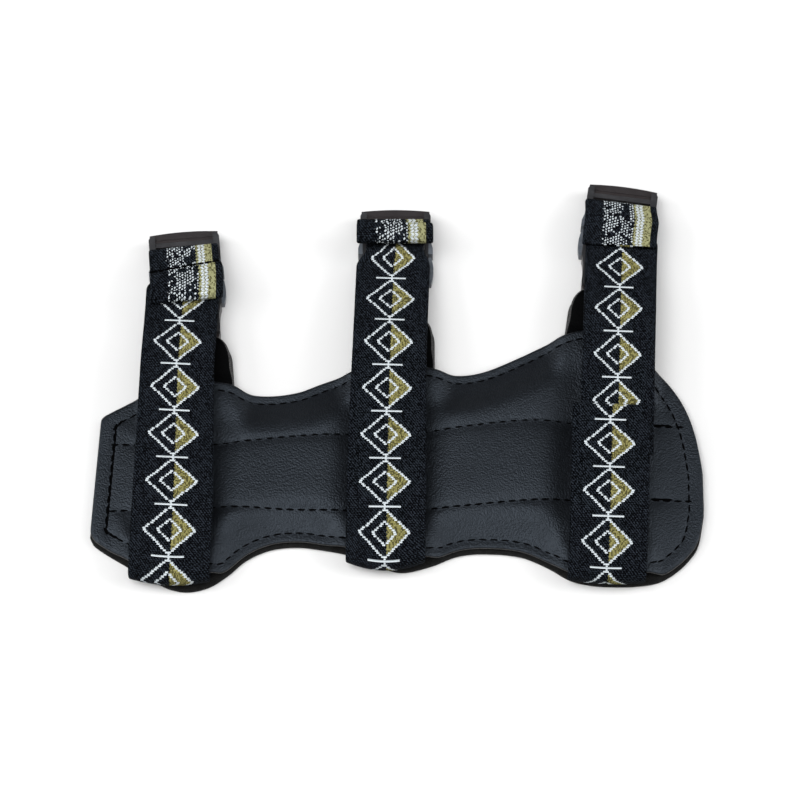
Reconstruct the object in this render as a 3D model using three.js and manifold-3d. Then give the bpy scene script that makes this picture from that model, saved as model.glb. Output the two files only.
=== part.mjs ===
// Arm guard for archery: a padded face on a felted backing, three elastic straps folded over the face,
// and a side-release buckle on a sewn tab for each strap. Millimetres, +Z up off the table it lies on,
// +X towards the elbow, +Y towards the buckles, origin under the middle of the whole part.
import * as THREE from "three";
import { mergeVertices } from "three/addons/utils/BufferGeometryUtils.js";
import Module from "manifold-3d";

const wasm = await Module();
wasm.setup();
const WELD_DISTANCE = 1e-4;

// Pad
const HALF_LENGTH = 102;
const BACKING_THICKNESS = 2;
const VINYL_THICKNESS = 1.3;
const FIT_GAP = 0.3;
const LAYER_GAP = 0.25;
const FACE_CROWN = 7;
const END_CROWN = 4.9;
const END_CROWN_START = 72;
const END_CROWN_RUN = 18;
const VALLEY_CROWN = 4.9;
const VALLEY_HALF_WIDTH = 9;
const VALLEY_FADE = 13;
const SEAM_MARGIN = 3.1;
const END_SEAM_MARGIN = 4.9;
const END_SEAM_START = 78;
const END_SEAM_RUN = 14;
const SEAM_RISE_BEFORE = 1;
const SEAM_RISE_WIDTH = 13;
const QUILT_DIP = 1;
const QUILT_DIP_WIDTH = 8.5;
const FACE_INSET_LOW = 1;
const FACE_INSET_HIGH = 0.4;
const FACE_EDGE_ROOM = 1.6;
const FACE_EDGE_FADE = 8;
const LIFT_DEPTH = 8;
const LIFT_FADE = 6;
const LIFT_SIDE_FADE = 7;
const LIFT_SIDE_ROOM = 1.2;
const LIFT_ROOM = 0.15;
const LIFT_LOSS = 0.85;
const CHANNEL_SHARES = [0, 0.2, 0.5, 0.8];
const LOWER_LINE_RANGE = [0.1, 0.4];
const UPPER_LINE_RANGE = [0.6, 0.9];
const SLOPE_STEP = 0.5;
const PAD_COLUMNS = 46;
const END_CROWDING = 0.45;
const END_POINTS = 10;

// Straps
const STRAP_THICKNESS = 1.5;
const SLOT_STRAP_WIDTH = 18.8;
const SQUEEZED_STRAP_WIDTH = 22.4;
const SEWN_LENGTH = 8;
const FOLD_RADIUS = 2.9;
const FOLD_BOW_REACH = 12;
const STRAP_RISE_RUN = 18;
const STRAP_BRIDGE_HEIGHT = 14;
const BRIDGE_END_BEFORE_BUCKLE = 8;
const BRIDGE_BEND_RADIUS = 25;
const LEVEL_RUN = 10;
const LEVEL_BEND_RADIUS = 10;
const SQUEEZE_RUN = 5.5;
const PLEAT_PITCH = 1.9;
const PLEAT_FOLD = 3.2;
const PLEAT_OVERLAP = 15;
const STRAIGHT_RUN = 60;
const JOIN_BEFORE_SLOT = 5;
const JOIN_EASE = 10;
const STRAP_OVER_BUCKLE = 0.6;
const SLOT_ENTRY_RADIUS = 4.4;
const SLOT_BEND_RADIUS = 1.6;
const TAIL_BEND_RADIUS = 1.4;
const TAIL_EASE_RADIUS = 4;
const TAIL_EASE_DROP = 0.55;
const TAIL_NARROWING = 0.8;
const HEM_EASE = 0.12;
const CREASE_RUN = 0.7;
const CREASE_DROP = 0.2;
const CREASE_RADIUS = 0.5;
const BEND_EASE = 0.02;
const STRAP_BEND_STEPS = 8;
const STRAP_LINES = [-1, -0.6, 0, 0.6, 1];

// Buckles, measured along their own axis from the bar that the tab holds
const BUCKLE_LENGTH = 40;
const BUCKLE_WIDTH = 24;
const BUCKLE_MIDDLE_HEIGHT = 4.1;
const SLOT_WIDTH = 19.6;
const SLOT_LENGTH = 3.4;
const LADDER_BAR = 3;
const END_BAR = 4.5;
const END_BAR_BOW = 0.5;
const SHOULDER_LENGTH = 1.7;
const SHOULDER_THICKNESS = 4.8;
const PLUG_START = 24;
const RAIL_THICKNESS = 5.4;
const RAIL_CORNER = 0.6;
const BAR_THICKNESS = 3;
const ARM_THICKNESS = 3.8;
const ARM_WIDTH = 3;
const ARM_TIP_WIDTH = 1.8;
const ARM_CLEARANCE = 0.6;
const BUTTON_REACH = 12.9;
const BUTTON_BULGE = 0.8;
const FLANGE_REACH = 12.7;
const FLANGE_LENGTH = 4.6;
const GUIDE_WIDTH = 3.2;
const GUIDE_THICKNESS = 2.8;
const SOCKET_END = 23.7;
const SOCKET_THICKNESS = 7.2;
const SOCKET_WAIST = 22;
const SOCKET_BAR_WIDTH = 20;
const SOCKET_CORNER = 4;
const WAIST_RUN = 4;
const MOUTH_DIP = 1.6;
const TAB_BAR = 2.5;
const CAVITY_WIDTH = 19.2;
const CAVITY_START = 8;
const WINDOW_START = 12.8;
const JOINT_OVERLAP = 0.5;
const CURVE_SEGMENTS = 5;
const CUT_PAST = 2;

// Tabs
const TAB_THICKNESS = 1.2;
const TAB_SEWN_LENGTH = 6.5;
const TAB_REACH = 13.5;
const TAB_WIDTH = 26.5;
const TAB_SHOULDER_RUN = 8.1;
const TAB_SHOULDER_END = 14.6;
const TAB_SHOULDER_STEPS = 4;
const TAB_LOOP_WIDTH = 15;
const TAB_LOOP_ROOM = 0.8;
const TAB_BAR_ROOM = 0.9;
const TAB_BEND_RADIUS = 6;
const TAB_EXIT = 1.5;
const TAB_BEND_STEPS = 10;
const TAB_LINES = [-1, 1];

// Pad outline, one row for each section across the pad: its place along the pad, its edge on the strap
// side, its edge on the buckle side, and how far that second edge leans towards the elbow.
const PAD_SECTIONS = [
  { x: -102, low: -53.5, high: -11.5, lean: 2.6 },
  { x: -100.5, low: -56.3, high: -10.2, lean: 2.2 },
  { x: -90, low: -63.2, high: -5, lean: 1 },
  { x: -80, low: -69, high: 0.4, lean: 0 },
  { x: -75, low: -71.4, high: 1.8, lean: 0 },
  { x: -69, low: -72.3, high: 1.9, lean: 0 },
  { x: -62, low: -70.6, high: 1.2, lean: 0 },
  { x: -56, low: -66.6, high: 0.2, lean: 0 },
  { x: -50, low: -61.3, high: -2.4, lean: 0 },
  { x: -42, low: -57.6, high: -3, lean: 0 },
  { x: -33, low: -56.6, high: -1.6, lean: 0 },
  { x: -26, low: -57.4, high: 1.2, lean: 0 },
  { x: -16, low: -59.4, high: 4.8, lean: 0 },
  { x: -8, low: -62.6, high: 7.4, lean: 0 },
  { x: 1, low: -65.5, high: 8.2, lean: 0 },
  { x: 11, low: -63.4, high: 6.2, lean: 0 },
  { x: 20, low: -59.8, high: 4.4, lean: 0 },
  { x: 29, low: -58.9, high: 5.7, lean: 0 },
  { x: 41, low: -60.1, high: 10.9, lean: 0 },
  { x: 50, low: -64, high: 15.4, lean: 0 },
  { x: 57, low: -68.2, high: 18.4, lean: 0 },
  { x: 64, low: -70, high: 19.8, lean: 0 },
  { x: 71, low: -70.5, high: 18.2, lean: 0 },
  { x: 79, low: -70.3, high: 13.2, lean: 0 },
  { x: 86.5, low: -69, high: 6.4, lean: 0 },
  { x: 92, low: -65.8, high: 0.4, lean: 0 },
  { x: 97, low: -61, high: -8.2, lean: 0 },
  { x: 100.2, low: -55.5, high: -18.7, lean: 0 },
  { x: 102, low: -46, high: -31, lean: 0 },
];

// Lengthwise quilting lines: height of each line across the pad at places along it.
const QUILT_LINES = [
  { x: -102, lower: -45, upper: -21 },
  { x: -60, lower: -44, upper: -21.3 },
  { x: -30, lower: -45, upper: -18.7 },
  { x: 11, lower: -44.6, upper: -17 },
  { x: 42, lower: -42, upper: -13.5 },
  { x: 70, lower: -41.3, upper: -14.6 },
  { x: 102, lower: -41.3, upper: -14.8 },
];

// Shallow dents and swells of the padded face, with their reach along and across the pad.
const FACE_WAVES = [
  { x: 21, y: -8, reachX: 8, reachY: 12, height: -0.9 },
  { x: -52, y: -9, reachX: 9, reachY: 9, height: 0.6 },
  { x: -52, y: -52, reachX: 10, reachY: 9, height: 0.5 },
  { x: 48, y: -30, reachX: 12, reachY: 18, height: 0.5 },
  { x: -38, y: -30, reachX: 16, reachY: 14, height: -0.5 },
];

// Straps in order from the wrist: where the strap leaves the pad, its lean there and the bow of its fold,
// where its tab leaves the pad and which way the buckle turns, its widths and its slips towards the elbow
// at the fold, on the run and at the tail, the tail's length, heights, crease and hem, and any pleat's place.
const STRAPS = [
  {
    name: "wrist",
    foot: { x: -75.8, y: -67, lean: -2.6, bow: 1.6 },
    base: { x: -68.2, y: 1.7, turn: 5 },
    widths: { fold: 26.9, run: 24.7, tail: 24.6 },
    slips: { fold: 0.6, run: -1.4, tail: 0.1 },
    tail: { length: 20, start: 10.4, out: 0, end: 14.2, crease: 9.2, hem: 8.5, hemBend: 1.15 },
  },
  {
    name: "middle",
    foot: { x: -3.3, y: -61.4, lean: -0.5, bow: 2.6 },
    base: { x: -0.6, y: 9.7, turn: 0 },
    widths: { fold: 26.3, run: 24.9, tail: 26 },
    slips: { fold: -0.6, run: -0.75, tail: -0.2 },
    tail: { length: 6.9, start: 12, out: 1.6, end: 14.8, crease: 1, hem: 4.6, hemBend: 1.8 },
  },
  {
    name: "elbow",
    foot: { x: 69.5, y: -67, lean: -2.3, bow: 0.8 },
    base: { x: 70, y: 18.9, turn: -8 },
    widths: { fold: 25.9, run: 24.4, tail: 25.2 },
    slips: { fold: -0.4, run: 1.75, tail: 0.9 },
    tail: { length: 16.8, start: 8.7, out: 0, end: 11.5, crease: 6.6, hem: 0, hemBend: 0 },
    pleat: 54.3,
  },
];

const vinyl = new THREE.MeshStandardMaterial({ color: 0x1d1e22, roughness: 0.5, metalness: 0 });
const felt = new THREE.MeshStandardMaterial({ color: 0x191a17, roughness: 0.95, metalness: 0 });
const elastic = new THREE.MeshStandardMaterial({ color: 0x10121a, roughness: 0.85, metalness: 0 });
const plastic = new THREE.MeshStandardMaterial({ color: 0x15161a, roughness: 0.4, metalness: 0 });

function clamp01(value) {
  return Math.min(1, Math.max(0, value));
}

function smooth(value) {
  const t = clamp01(value);
  return t * t * (3 - 2 * t);
}

// Value of one column of a table at a place along the pad, on a smooth curve through its rows.
function columnAt(rows, column, x) {
  const last = rows.length - 1;
  let i = rows.findIndex((row) => row.x >= x);
  i = Math.min(last, Math.max(1, i < 0 ? last : i));
  const slope = (k) => {
    const before = rows[Math.max(0, k - 1)];
    const after = rows[Math.min(last, k + 1)];
    return (after[column] - before[column]) / (after.x - before.x);
  };
  const from = rows[i - 1];
  const to = rows[i];
  const span = to.x - from.x;
  const t = clamp01((x - from.x) / span);
  const rest = 1 - t;
  return (
    from[column] * rest * rest * (1 + 2 * t) +
    slope(i - 1) * span * t * rest * rest +
    to[column] * t * t * (3 - 2 * t) -
    slope(i) * span * t * t * rest
  );
}

// Share of an effect at a place along the pad: 1 over a strap or tab, fading to nothing on both sides.
function sideFade(x, middle, halfWidth, fade) {
  return 1 - smooth((Math.abs(x - middle) - halfWidth) / fade);
}

// The face's edge on the strap side, drawn back to each strap's fold so that the backing shows below it.
function faceLow(x) {
  const plain = columnAt(PAD_SECTIONS, "low", x) + FACE_INSET_LOW;
  return STRAPS.reduce((edge, strap) => {
    const middle = strap.foot.x + strap.slips.fold;
    const share = sideFade(x, middle, strap.widths.fold / 2 + FACE_EDGE_ROOM, FACE_EDGE_FADE);
    return edge + Math.max(0, strap.foot.y - plain) * share;
  }, plain);
}

function faceHigh(x) {
  return columnAt(PAD_SECTIONS, "high", x) - FACE_INSET_HIGH;
}

// Places along the pad where sections are cut, closer together near both ends.
const columnPlaces = Array.from({ length: PAD_COLUMNS + 1 }, (_, i) => {
  const even = (2 * i) / PAD_COLUMNS - 1;
  const crowded = -Math.cos((Math.PI * i) / PAD_COLUMNS);
  return HALF_LENGTH * (even * (1 - END_CROWDING) + crowded * END_CROWDING);
});

// Points across the pad at one place along it, at the given shares from the low edge to the high one.
function acrossPad(x, low, high, shares) {
  const lean = columnAt(PAD_SECTIONS, "lean", x);
  return shares.map((share) => new THREE.Vector2(x + lean * share, low + (high - low) * share));
}

// Closed panel from a grid of places, with a height for its upper and its lower skin at each place.
function panelGeometry(grid, upper, lower) {
  const columns = grid.length;
  const rows = grid[0].length;
  const positions = [];
  for (const heightAt of [upper, lower]) {
    grid.forEach((line) => line.forEach((p) => positions.push(p.x, p.y, heightAt(p.x, p.y))));
  }
  const top = (i, j) => i * rows + j;
  const under = (i, j) => columns * rows + i * rows + j;
  const index = [];
  const quad = (a, b, c, d) => index.push(a, b, c, a, c, d);
  for (let i = 0; i < columns - 1; i++) {
    for (let j = 0; j < rows - 1; j++) {
      quad(top(i, j), top(i + 1, j), top(i + 1, j + 1), top(i, j + 1));
      quad(under(i, j), under(i, j + 1), under(i + 1, j + 1), under(i + 1, j));
    }
    quad(under(i, 0), under(i + 1, 0), top(i + 1, 0), top(i, 0));
    quad(under(i + 1, rows - 1), under(i, rows - 1), top(i, rows - 1), top(i + 1, rows - 1));
  }
  for (let j = 0; j < rows - 1; j++) {
    quad(under(0, j + 1), under(0, j), top(0, j), top(0, j + 1));
    quad(under(columns - 1, j), under(columns - 1, j + 1), top(columns - 1, j + 1), top(columns - 1, j));
  }
  const geometry = new THREE.BufferGeometry();
  geometry.setAttribute("position", new THREE.Float32BufferAttribute(positions, 3));
  geometry.setIndex(index);
  return geometry;
}

// Distance from a place on the face to the nearest point of the face's edge.
const faceEdge = [];
for (const x of columnPlaces) {
  faceEdge.push(...acrossPad(x, faceLow(x), faceHigh(x), [0, 1]));
}
for (const x of [-HALF_LENGTH, HALF_LENGTH]) {
  const endShares = Array.from({ length: END_POINTS - 1 }, (_, k) => (k + 1) / END_POINTS);
  faceEdge.push(...acrossPad(x, faceLow(x), faceHigh(x), endShares));
}
function edgeDistance(x, y) {
  return Math.min(...faceEdge.map((p) => Math.hypot(p.x - x, p.y - y)));
}

const STRAP_LIFT = STRAP_THICKNESS + LAYER_GAP + LIFT_ROOM;
const TAB_LIFT = 2 * (TAB_THICKNESS + LAYER_GAP) + LIFT_ROOM;

// Lift of the face over the sewn ends of the straps along one edge and of the tabs along the other.
function rimLift(x, y) {
  const fromLow = 1 - smooth((y - faceLow(x) - LIFT_DEPTH) / LIFT_FADE);
  const fromHigh = 1 - smooth((faceHigh(x) - y - LIFT_DEPTH) / LIFT_FADE);
  const lifts = STRAPS.map((strap) => {
    const middle = strap.foot.x + strap.slips.fold;
    const overStrap = sideFade(x, middle, strap.widths.fold / 2 + LIFT_SIDE_ROOM, LIFT_SIDE_FADE);
    const overTab = sideFade(x, strap.base.x, TAB_WIDTH / 2 + LIFT_SIDE_ROOM, LIFT_SIDE_FADE);
    return Math.max(STRAP_LIFT * fromLow * overStrap, TAB_LIFT * fromHigh * overTab);
  });
  return Math.max(...lifts);
}

function faceUnder(x, y) {
  return BACKING_THICKNESS + FIT_GAP + rimLift(x, y);
}

// Distance of the rim seam from the face's edge, wider round both ends.
function seamMargin(x) {
  const share = smooth((Math.abs(x) - END_SEAM_START) / END_SEAM_RUN);
  return SEAM_MARGIN + (END_SEAM_MARGIN - SEAM_MARGIN) * share;
}

// Height of the padding, lower towards both ends and in a shallow valley under each strap.
function crownHeight(x, y) {
  const towardsEnd = smooth((Math.abs(x) - END_CROWN_START) / END_CROWN_RUN);
  return STRAPS.reduce((crown, { foot, base }) => {
    const middle = foot.x + ((base.x - foot.x) * (y - foot.y)) / (base.y - foot.y);
    return crown + (VALLEY_CROWN - crown) * sideFade(x, middle, VALLEY_HALF_WIDTH, VALLEY_FADE);
  }, FACE_CROWN + (END_CROWN - FACE_CROWN) * towardsEnd);
}

// Upper skin of the face: a thin rim, a rise inside the seam, a dip along each quilting line.
function faceTop(x, y) {
  const fromSeam = edgeDistance(x, y) - seamMargin(x);
  const rise = smooth((fromSeam + SEAM_RISE_BEFORE) / (SEAM_RISE_WIDTH + SEAM_RISE_BEFORE));
  const toLine = Math.min(
    Math.abs(y - columnAt(QUILT_LINES, "lower", x)),
    Math.abs(y - columnAt(QUILT_LINES, "upper", x)),
  );
  const dip = QUILT_DIP * (1 - clamp01(toLine / QUILT_DIP_WIDTH)) ** 2;
  const waves = FACE_WAVES.reduce(
    (sum, w) => sum + w.height * Math.exp(-(((x - w.x) / w.reachX) ** 2) - ((y - w.y) / w.reachY) ** 2),
    0,
  );
  const rim = BACKING_THICKNESS + FIT_GAP + VINYL_THICKNESS;
  const lift = rimLift(x, y) * (1 - LIFT_LOSS * rise);
  return rim + (crownHeight(x, y) - rim - dip + waves) * rise + lift;
}

// Grid line across the face: edge, seam, the shoulders and middle of each channel, quilting lines.
function faceLine(x) {
  const low = faceLow(x);
  const high = faceHigh(x);
  const slope = (edge) => (edge(x + SLOPE_STEP) - edge(x - SLOPE_STEP)) / (2 * SLOPE_STEP);
  const widestMargin = (high - low) / 4;
  const margin = (edge) => Math.min(seamMargin(x) * Math.hypot(1, slope(edge)), widestMargin);
  const seamLow = low + margin(faceLow);
  const seamHigh = high - margin(faceHigh);
  const keptBetween = (column, [least, most]) => {
    const share = (columnAt(QUILT_LINES, column, x) - seamLow) / (seamHigh - seamLow);
    return seamLow + (seamHigh - seamLow) * Math.min(most, Math.max(least, share));
  };
  const lower = keptBetween("lower", LOWER_LINE_RANGE);
  const upper = keptBetween("upper", UPPER_LINE_RANGE);
  const bounds = [seamLow, lower, upper, seamHigh];
  const heights = [low];
  for (let k = 0; k < bounds.length - 1; k++) {
    for (const share of CHANNEL_SHARES) {
      heights.push(bounds[k] + (bounds[k + 1] - bounds[k]) * share);
    }
  }
  heights.push(seamHigh, high);
  return acrossPad(x, low, high, heights.map((y) => (y - low) / (high - low)));
}

const backingGrid = columnPlaces.map((x) =>
  acrossPad(x, columnAt(PAD_SECTIONS, "low", x), columnAt(PAD_SECTIONS, "high", x), [0, 1]),
);
const backingGeometry = panelGeometry(backingGrid, () => BACKING_THICKNESS, () => 0);
const faceGeometry = panelGeometry(columnPlaces.map(faceLine), faceTop, faceUnder);

// Points along a bent line, from corner rows of place, height and bend radius, with the width and the
// sideways slip at each.
function bentLine(corners, bendSteps) {
  const points = [];
  corners.forEach((corner, i) => {
    const here = new THREE.Vector2(corner.v, corner.z);
    if (!corner.radius) {
      points.push({ at: here, width: corner.width, slip: corner.slip });
      return;
    }
    const before = corners[i - 1];
    const after = corners[i + 1];
    const back = new THREE.Vector2(before.v, before.z).sub(here).normalize();
    const ahead = new THREE.Vector2(after.v, after.z).sub(here).normalize();
    const half = Math.acos(back.dot(ahead)) / 2;
    const cut = corner.radius / Math.tan(half);
    const inward = back.clone().add(ahead).normalize();
    const centre = here.clone().addScaledVector(inward, corner.radius / Math.sin(half));
    const start = here.clone().addScaledVector(back, cut).sub(centre);
    const end = here.clone().addScaledVector(ahead, cut).sub(centre);
    const turn = Math.atan2(start.cross(end), start.dot(end));
    const steps = Math.max(2, Math.ceil((Math.abs(turn) / Math.PI) * bendSteps));
    for (let k = 0; k <= steps; k++) {
      const at = start.clone().rotateAround(new THREE.Vector2(), (turn * k) / steps).add(centre);
      points.push({ at, width: corner.width, slip: corner.slip });
    }
  });
  return points;
}

// Closed strip of even thickness along a bent line, laid along a path on the table. The lines run along
// its length at shares of its half width, and its fold at the start of the path is bowed outwards.
function stripGeometry(points, thickness, pathAt, lines, bow = 0) {
  const ringLines = [
    ...lines.map((across) => ({ across, face: 1 })),
    ...[...lines].reverse().map((across) => ({ across, face: -1 })),
  ];
  const positions = [];
  points.forEach((point, i) => {
    const before = points[Math.max(0, i - 1)].at;
    const after = points[Math.min(points.length - 1, i + 1)].at;
    const along = after.clone().sub(before).normalize();
    const bowHere = bow * (1 - smooth(point.at.x / FOLD_BOW_REACH));
    for (const { across, face } of ringLines) {
      const { place, heading } = pathAt(point.at.x + bowHere * (across ** 2 - 0.5));
      const shift = (-along.y * face * thickness) / 2;
      const reach = (across * point.width) / 2 + point.slip;
      positions.push(
        place.x + heading.x * shift + heading.y * reach,
        place.y + heading.y * shift - heading.x * reach,
        point.at.y + (along.x * face * thickness) / 2,
      );
    }
  });
  const ring = ringLines.length;
  const last = (points.length - 1) * ring;
  const index = [];
  for (let start = 0; start < last; start += ring) {
    for (let k = 0; k < ring; k++) {
      const a = start + k;
      const b = start + ((k + 1) % ring);
      index.push(a, b, b + ring, a, b + ring, a + ring);
    }
  }
  for (let k = 0; k < lines.length - 1; k++) {
    const a = k;
    const b = k + 1;
    const c = ring - 2 - k;
    const d = ring - 1 - k;
    index.push(a, c, b, a, d, c);
    index.push(last + a, last + b, last + c, last + a, last + c, last + d);
  }
  const geometry = new THREE.BufferGeometry();
  geometry.setAttribute("position", new THREE.Float32BufferAttribute(positions, 3));
  geometry.setIndex(index);
  return geometry;
}

function headingOf(degrees) {
  const angle = THREE.MathUtils.degToRad(degrees);
  return new THREE.Vector2(-Math.sin(angle), Math.cos(angle));
}

// Straight path out of the pad along the tab and buckle, measured from the pad's edge.
function buckleAxis(strap) {
  const heading = headingOf(strap.base.turn);
  const base = new THREE.Vector2(strap.base.x, strap.base.y);
  return (v) => ({ place: base.clone().addScaledVector(heading, v), heading });
}

const FIRST_SLOT = PLUG_START + SHOULDER_LENGTH + SLOT_LENGTH / 2;
const SECOND_SLOT = FIRST_SLOT + SLOT_LENGTH + LADDER_BAR;
const STRAP_IN_FIRST_SLOT = FIRST_SLOT + SLOT_LENGTH / 2 - STRAP_THICKNESS / 2 - FIT_GAP;
const STRAP_IN_SECOND_SLOT = SECOND_SLOT - SLOT_LENGTH / 2 + STRAP_THICKNESS / 2 + FIT_GAP;

// Path of a strap over the table: straight out of its fold, then bending gently into its buckle's axis.
function strapPath(strap) {
  const joinPlace = TAB_REACH + FIRST_SLOT - JOIN_BEFORE_SLOT;
  const axis = buckleAxis(strap);
  const foot = new THREE.Vector2(strap.foot.x, strap.foot.y);
  const join = axis(joinPlace).place;
  const lean = headingOf(strap.foot.lean);
  const bend = new THREE.CubicBezierCurve(
    foot,
    foot.clone().addScaledVector(lean, STRAIGHT_RUN),
    join.clone().addScaledVector(axis(0).heading, -JOIN_EASE),
    join,
  );
  const length = bend.getLength();
  const pathAt = (v) => {
    if (v <= 0) {
      return { place: foot.clone().addScaledVector(lean, v), heading: lean };
    }
    if (v >= length) {
      return axis(joinPlace + v - length);
    }
    return { place: bend.getPointAt(v / length), heading: bend.getTangentAt(v / length) };
  };
  return { pathAt, buckleStart: length - joinPlace + TAB_REACH };
}

const RAIL_TOP = BUCKLE_MIDDLE_HEIGHT + RAIL_THICKNESS / 2;
const UNDER_BAR = BUCKLE_MIDDLE_HEIGHT - BAR_THICKNESS / 2 - FIT_GAP - STRAP_THICKNESS / 2;
const OVER_SOCKET = BUCKLE_MIDDLE_HEIGHT + (SOCKET_THICKNESS + STRAP_THICKNESS) / 2 + STRAP_OVER_BUCKLE;
const SEWN_HEIGHT = BACKING_THICKNESS + LAYER_GAP + STRAP_THICKNESS / 2;

// Corner rows of a pleat: the strap's run turns back under itself, then forward again on the lowest layer.
function pleatCorners(strap, firstLayer) {
  const lastLayer = STRAP_BRIDGE_HEIGHT;
  const middleLayer = lastLayer + PLEAT_PITCH;
  const start = strap.pleat - PLEAT_OVERLAP;
  const fold = { radius: PLEAT_FOLD / 2 - BEND_EASE, width: strap.widths.fold, slip: strap.slips.fold };
  const back = { radius: PLEAT_PITCH / 2 - BEND_EASE, width: strap.widths.run, slip: strap.slips.run };
  return [
    { v: strap.pleat, z: firstLayer, ...fold },
    { v: strap.pleat, z: middleLayer, ...fold },
    { v: start, z: middleLayer, ...back },
    { v: start, z: lastLayer, ...back },
  ];
}

// Corner rows of a tail from the top of its slot: laid flat, or creased over a hem folded under its end.
function tailCorners({ tail, widths, slips }, slot) {
  const width = widths.tail;
  const slip = slips.tail;
  const narrower = width - TAIL_NARROWING;
  const crease = slot - tail.crease;
  const end = slot - tail.length;
  const corners = [
    { v: slot + tail.out, z: tail.start, radius: TAIL_BEND_RADIUS, width: narrower, slip },
  ];
  if (!tail.hem) {
    corners.push(
      { v: crease, z: tail.end - TAIL_EASE_DROP, radius: TAIL_EASE_RADIUS, width, slip },
      { v: end, z: tail.end, width, slip },
    );
    return corners;
  }
  const radius = tail.hemBend;
  const under = tail.end - 2 * radius - HEM_EASE;
  corners.push(
    { v: crease, z: tail.start + TAIL_EASE_DROP, radius: CREASE_RADIUS, width: narrower, slip },
    { v: crease - CREASE_RUN, z: tail.end - CREASE_DROP, radius: CREASE_RADIUS, width, slip },
    { v: end, z: tail.end, radius, width, slip },
    { v: end, z: under, radius, width, slip },
    { v: end + tail.hem, z: under, width, slip },
  );
  return corners;
}

// Corner rows of one strap from its sewn end to the end of its tail.
function strapCorners(strap, buckleStart) {
  const bridge = STRAP_BRIDGE_HEIGHT;
  const foldTop = SEWN_HEIGHT + 2 * FOLD_RADIUS;
  const firstLayer = strap.pleat ? bridge + PLEAT_PITCH + PLEAT_FOLD : bridge;
  const atFold = { width: strap.widths.fold, slip: strap.slips.fold };
  const onRun = { width: strap.widths.run, slip: strap.slips.run };
  const inSlot = { width: SLOT_STRAP_WIDTH, slip: 0 };
  const fold = { radius: FOLD_RADIUS - BEND_EASE, ...atFold };
  const slotBend = { radius: SLOT_BEND_RADIUS, ...inSlot };
  const slot1 = buckleStart + STRAP_IN_FIRST_SLOT;
  const slot2 = buckleStart + STRAP_IN_SECOND_SLOT;
  return [
    { v: SEWN_LENGTH, z: SEWN_HEIGHT, ...atFold },
    { v: -FOLD_RADIUS, z: SEWN_HEIGHT, ...fold },
    { v: -FOLD_RADIUS, z: foldTop, ...fold },
    { v: STRAP_RISE_RUN, z: firstLayer, radius: BRIDGE_BEND_RADIUS, ...atFold },
    ...(strap.pleat ? pleatCorners(strap, firstLayer) : []),
    { v: buckleStart - BRIDGE_END_BEFORE_BUCKLE, z: bridge, radius: BRIDGE_BEND_RADIUS, ...onRun },
    { v: slot1 - LEVEL_RUN, z: OVER_SOCKET, radius: LEVEL_BEND_RADIUS, ...onRun },
    { v: slot1 - SQUEEZE_RUN, z: OVER_SOCKET, width: SQUEEZED_STRAP_WIDTH, slip: strap.slips.run / 2 },
    { v: slot1, z: OVER_SOCKET, radius: SLOT_ENTRY_RADIUS, ...inSlot },
    { v: slot1, z: UNDER_BAR, ...slotBend },
    { v: slot2, z: UNDER_BAR, ...slotBend },
    { v: slot2, z: RAIL_TOP + FIT_GAP, ...inSlot },
    ...tailCorners(strap, slot2),
  ];
}

// Corner rows of one tab: out of the pad below, round the socket's bar, and back into the pad above. Its
// shoulders are rounded off to the width of the loop.
function tabCorners() {
  const lower = BACKING_THICKNESS + LAYER_GAP + TAB_THICKNESS / 2;
  const upper = lower + TAB_THICKNESS + LAYER_GAP;
  const loop = (TAB_BAR + TAB_THICKNESS) / 2 + TAB_BAR_ROOM;
  const low = BUCKLE_MIDDLE_HEIGHT - loop;
  const high = BUCKLE_MIDDLE_HEIGHT + loop;
  const turn = TAB_REACH + TAB_BAR / 2 + loop;
  const shoulder = TAB_SHOULDER_END - TAB_SHOULDER_RUN;
  const wide = { width: TAB_WIDTH, slip: 0 };
  const bend = { radius: TAB_BEND_RADIUS, ...wide };
  const loopBend = { radius: loop - BEND_EASE, width: TAB_LOOP_WIDTH, slip: 0 };
  const rounding = Array.from({ length: TAB_SHOULDER_STEPS }, (_, k) => {
    const angle = ((k + 1) / TAB_SHOULDER_STEPS) * (Math.PI / 2);
    const width = TAB_LOOP_WIDTH + (TAB_WIDTH - TAB_LOOP_WIDTH) * Math.cos(angle);
    return { v: shoulder + TAB_SHOULDER_RUN * Math.sin(angle), width, slip: 0 };
  });
  return [
    { v: -TAB_SEWN_LENGTH, z: lower, ...wide },
    { v: TAB_EXIT, z: lower, ...bend },
    { v: shoulder, z: low, ...bend },
    ...rounding.map((row) => ({ ...row, z: low })),
    { v: turn, z: low, ...loopBend },
    { v: turn, z: high, ...loopBend },
    ...rounding.reverse().map((row) => ({ ...row, z: high })),
    { v: shoulder, z: high, ...bend },
    { v: TAB_EXIT, z: upper, ...bend },
    { v: -TAB_SEWN_LENGTH, z: upper, ...wide },
  ];
}

// Solid for joining and cutting, from a closed geometry.
function solidFrom(geometry) {
  const plain = geometry.clone();
  plain.deleteAttribute("normal");
  plain.deleteAttribute("uv");
  const merged = mergeVertices(plain, WELD_DISTANCE);
  return new wasm.Manifold(
    new wasm.Mesh({
      numProp: 3,
      vertProperties: merged.attributes.position.array,
      triVerts: new Uint32Array(merged.index.array),
    }),
  );
}

function geometryFrom(solid) {
  const mesh = solid.getMesh();
  const geometry = new THREE.BufferGeometry();
  geometry.setAttribute("position", new THREE.BufferAttribute(mesh.vertProperties, 3));
  geometry.setIndex(new THREE.BufferAttribute(mesh.triVerts, 1));
  return geometry;
}

// Flat outline raised to a thickness about the buckle's middle height.
function plate(shape, thickness, lift = 0) {
  const settings = { depth: thickness, bevelEnabled: false, curveSegments: CURVE_SEGMENTS };
  const geometry = new THREE.ExtrudeGeometry(shape, settings);
  geometry.translate(0, 0, lift - thickness / 2);
  return solidFrom(geometry);
}

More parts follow.
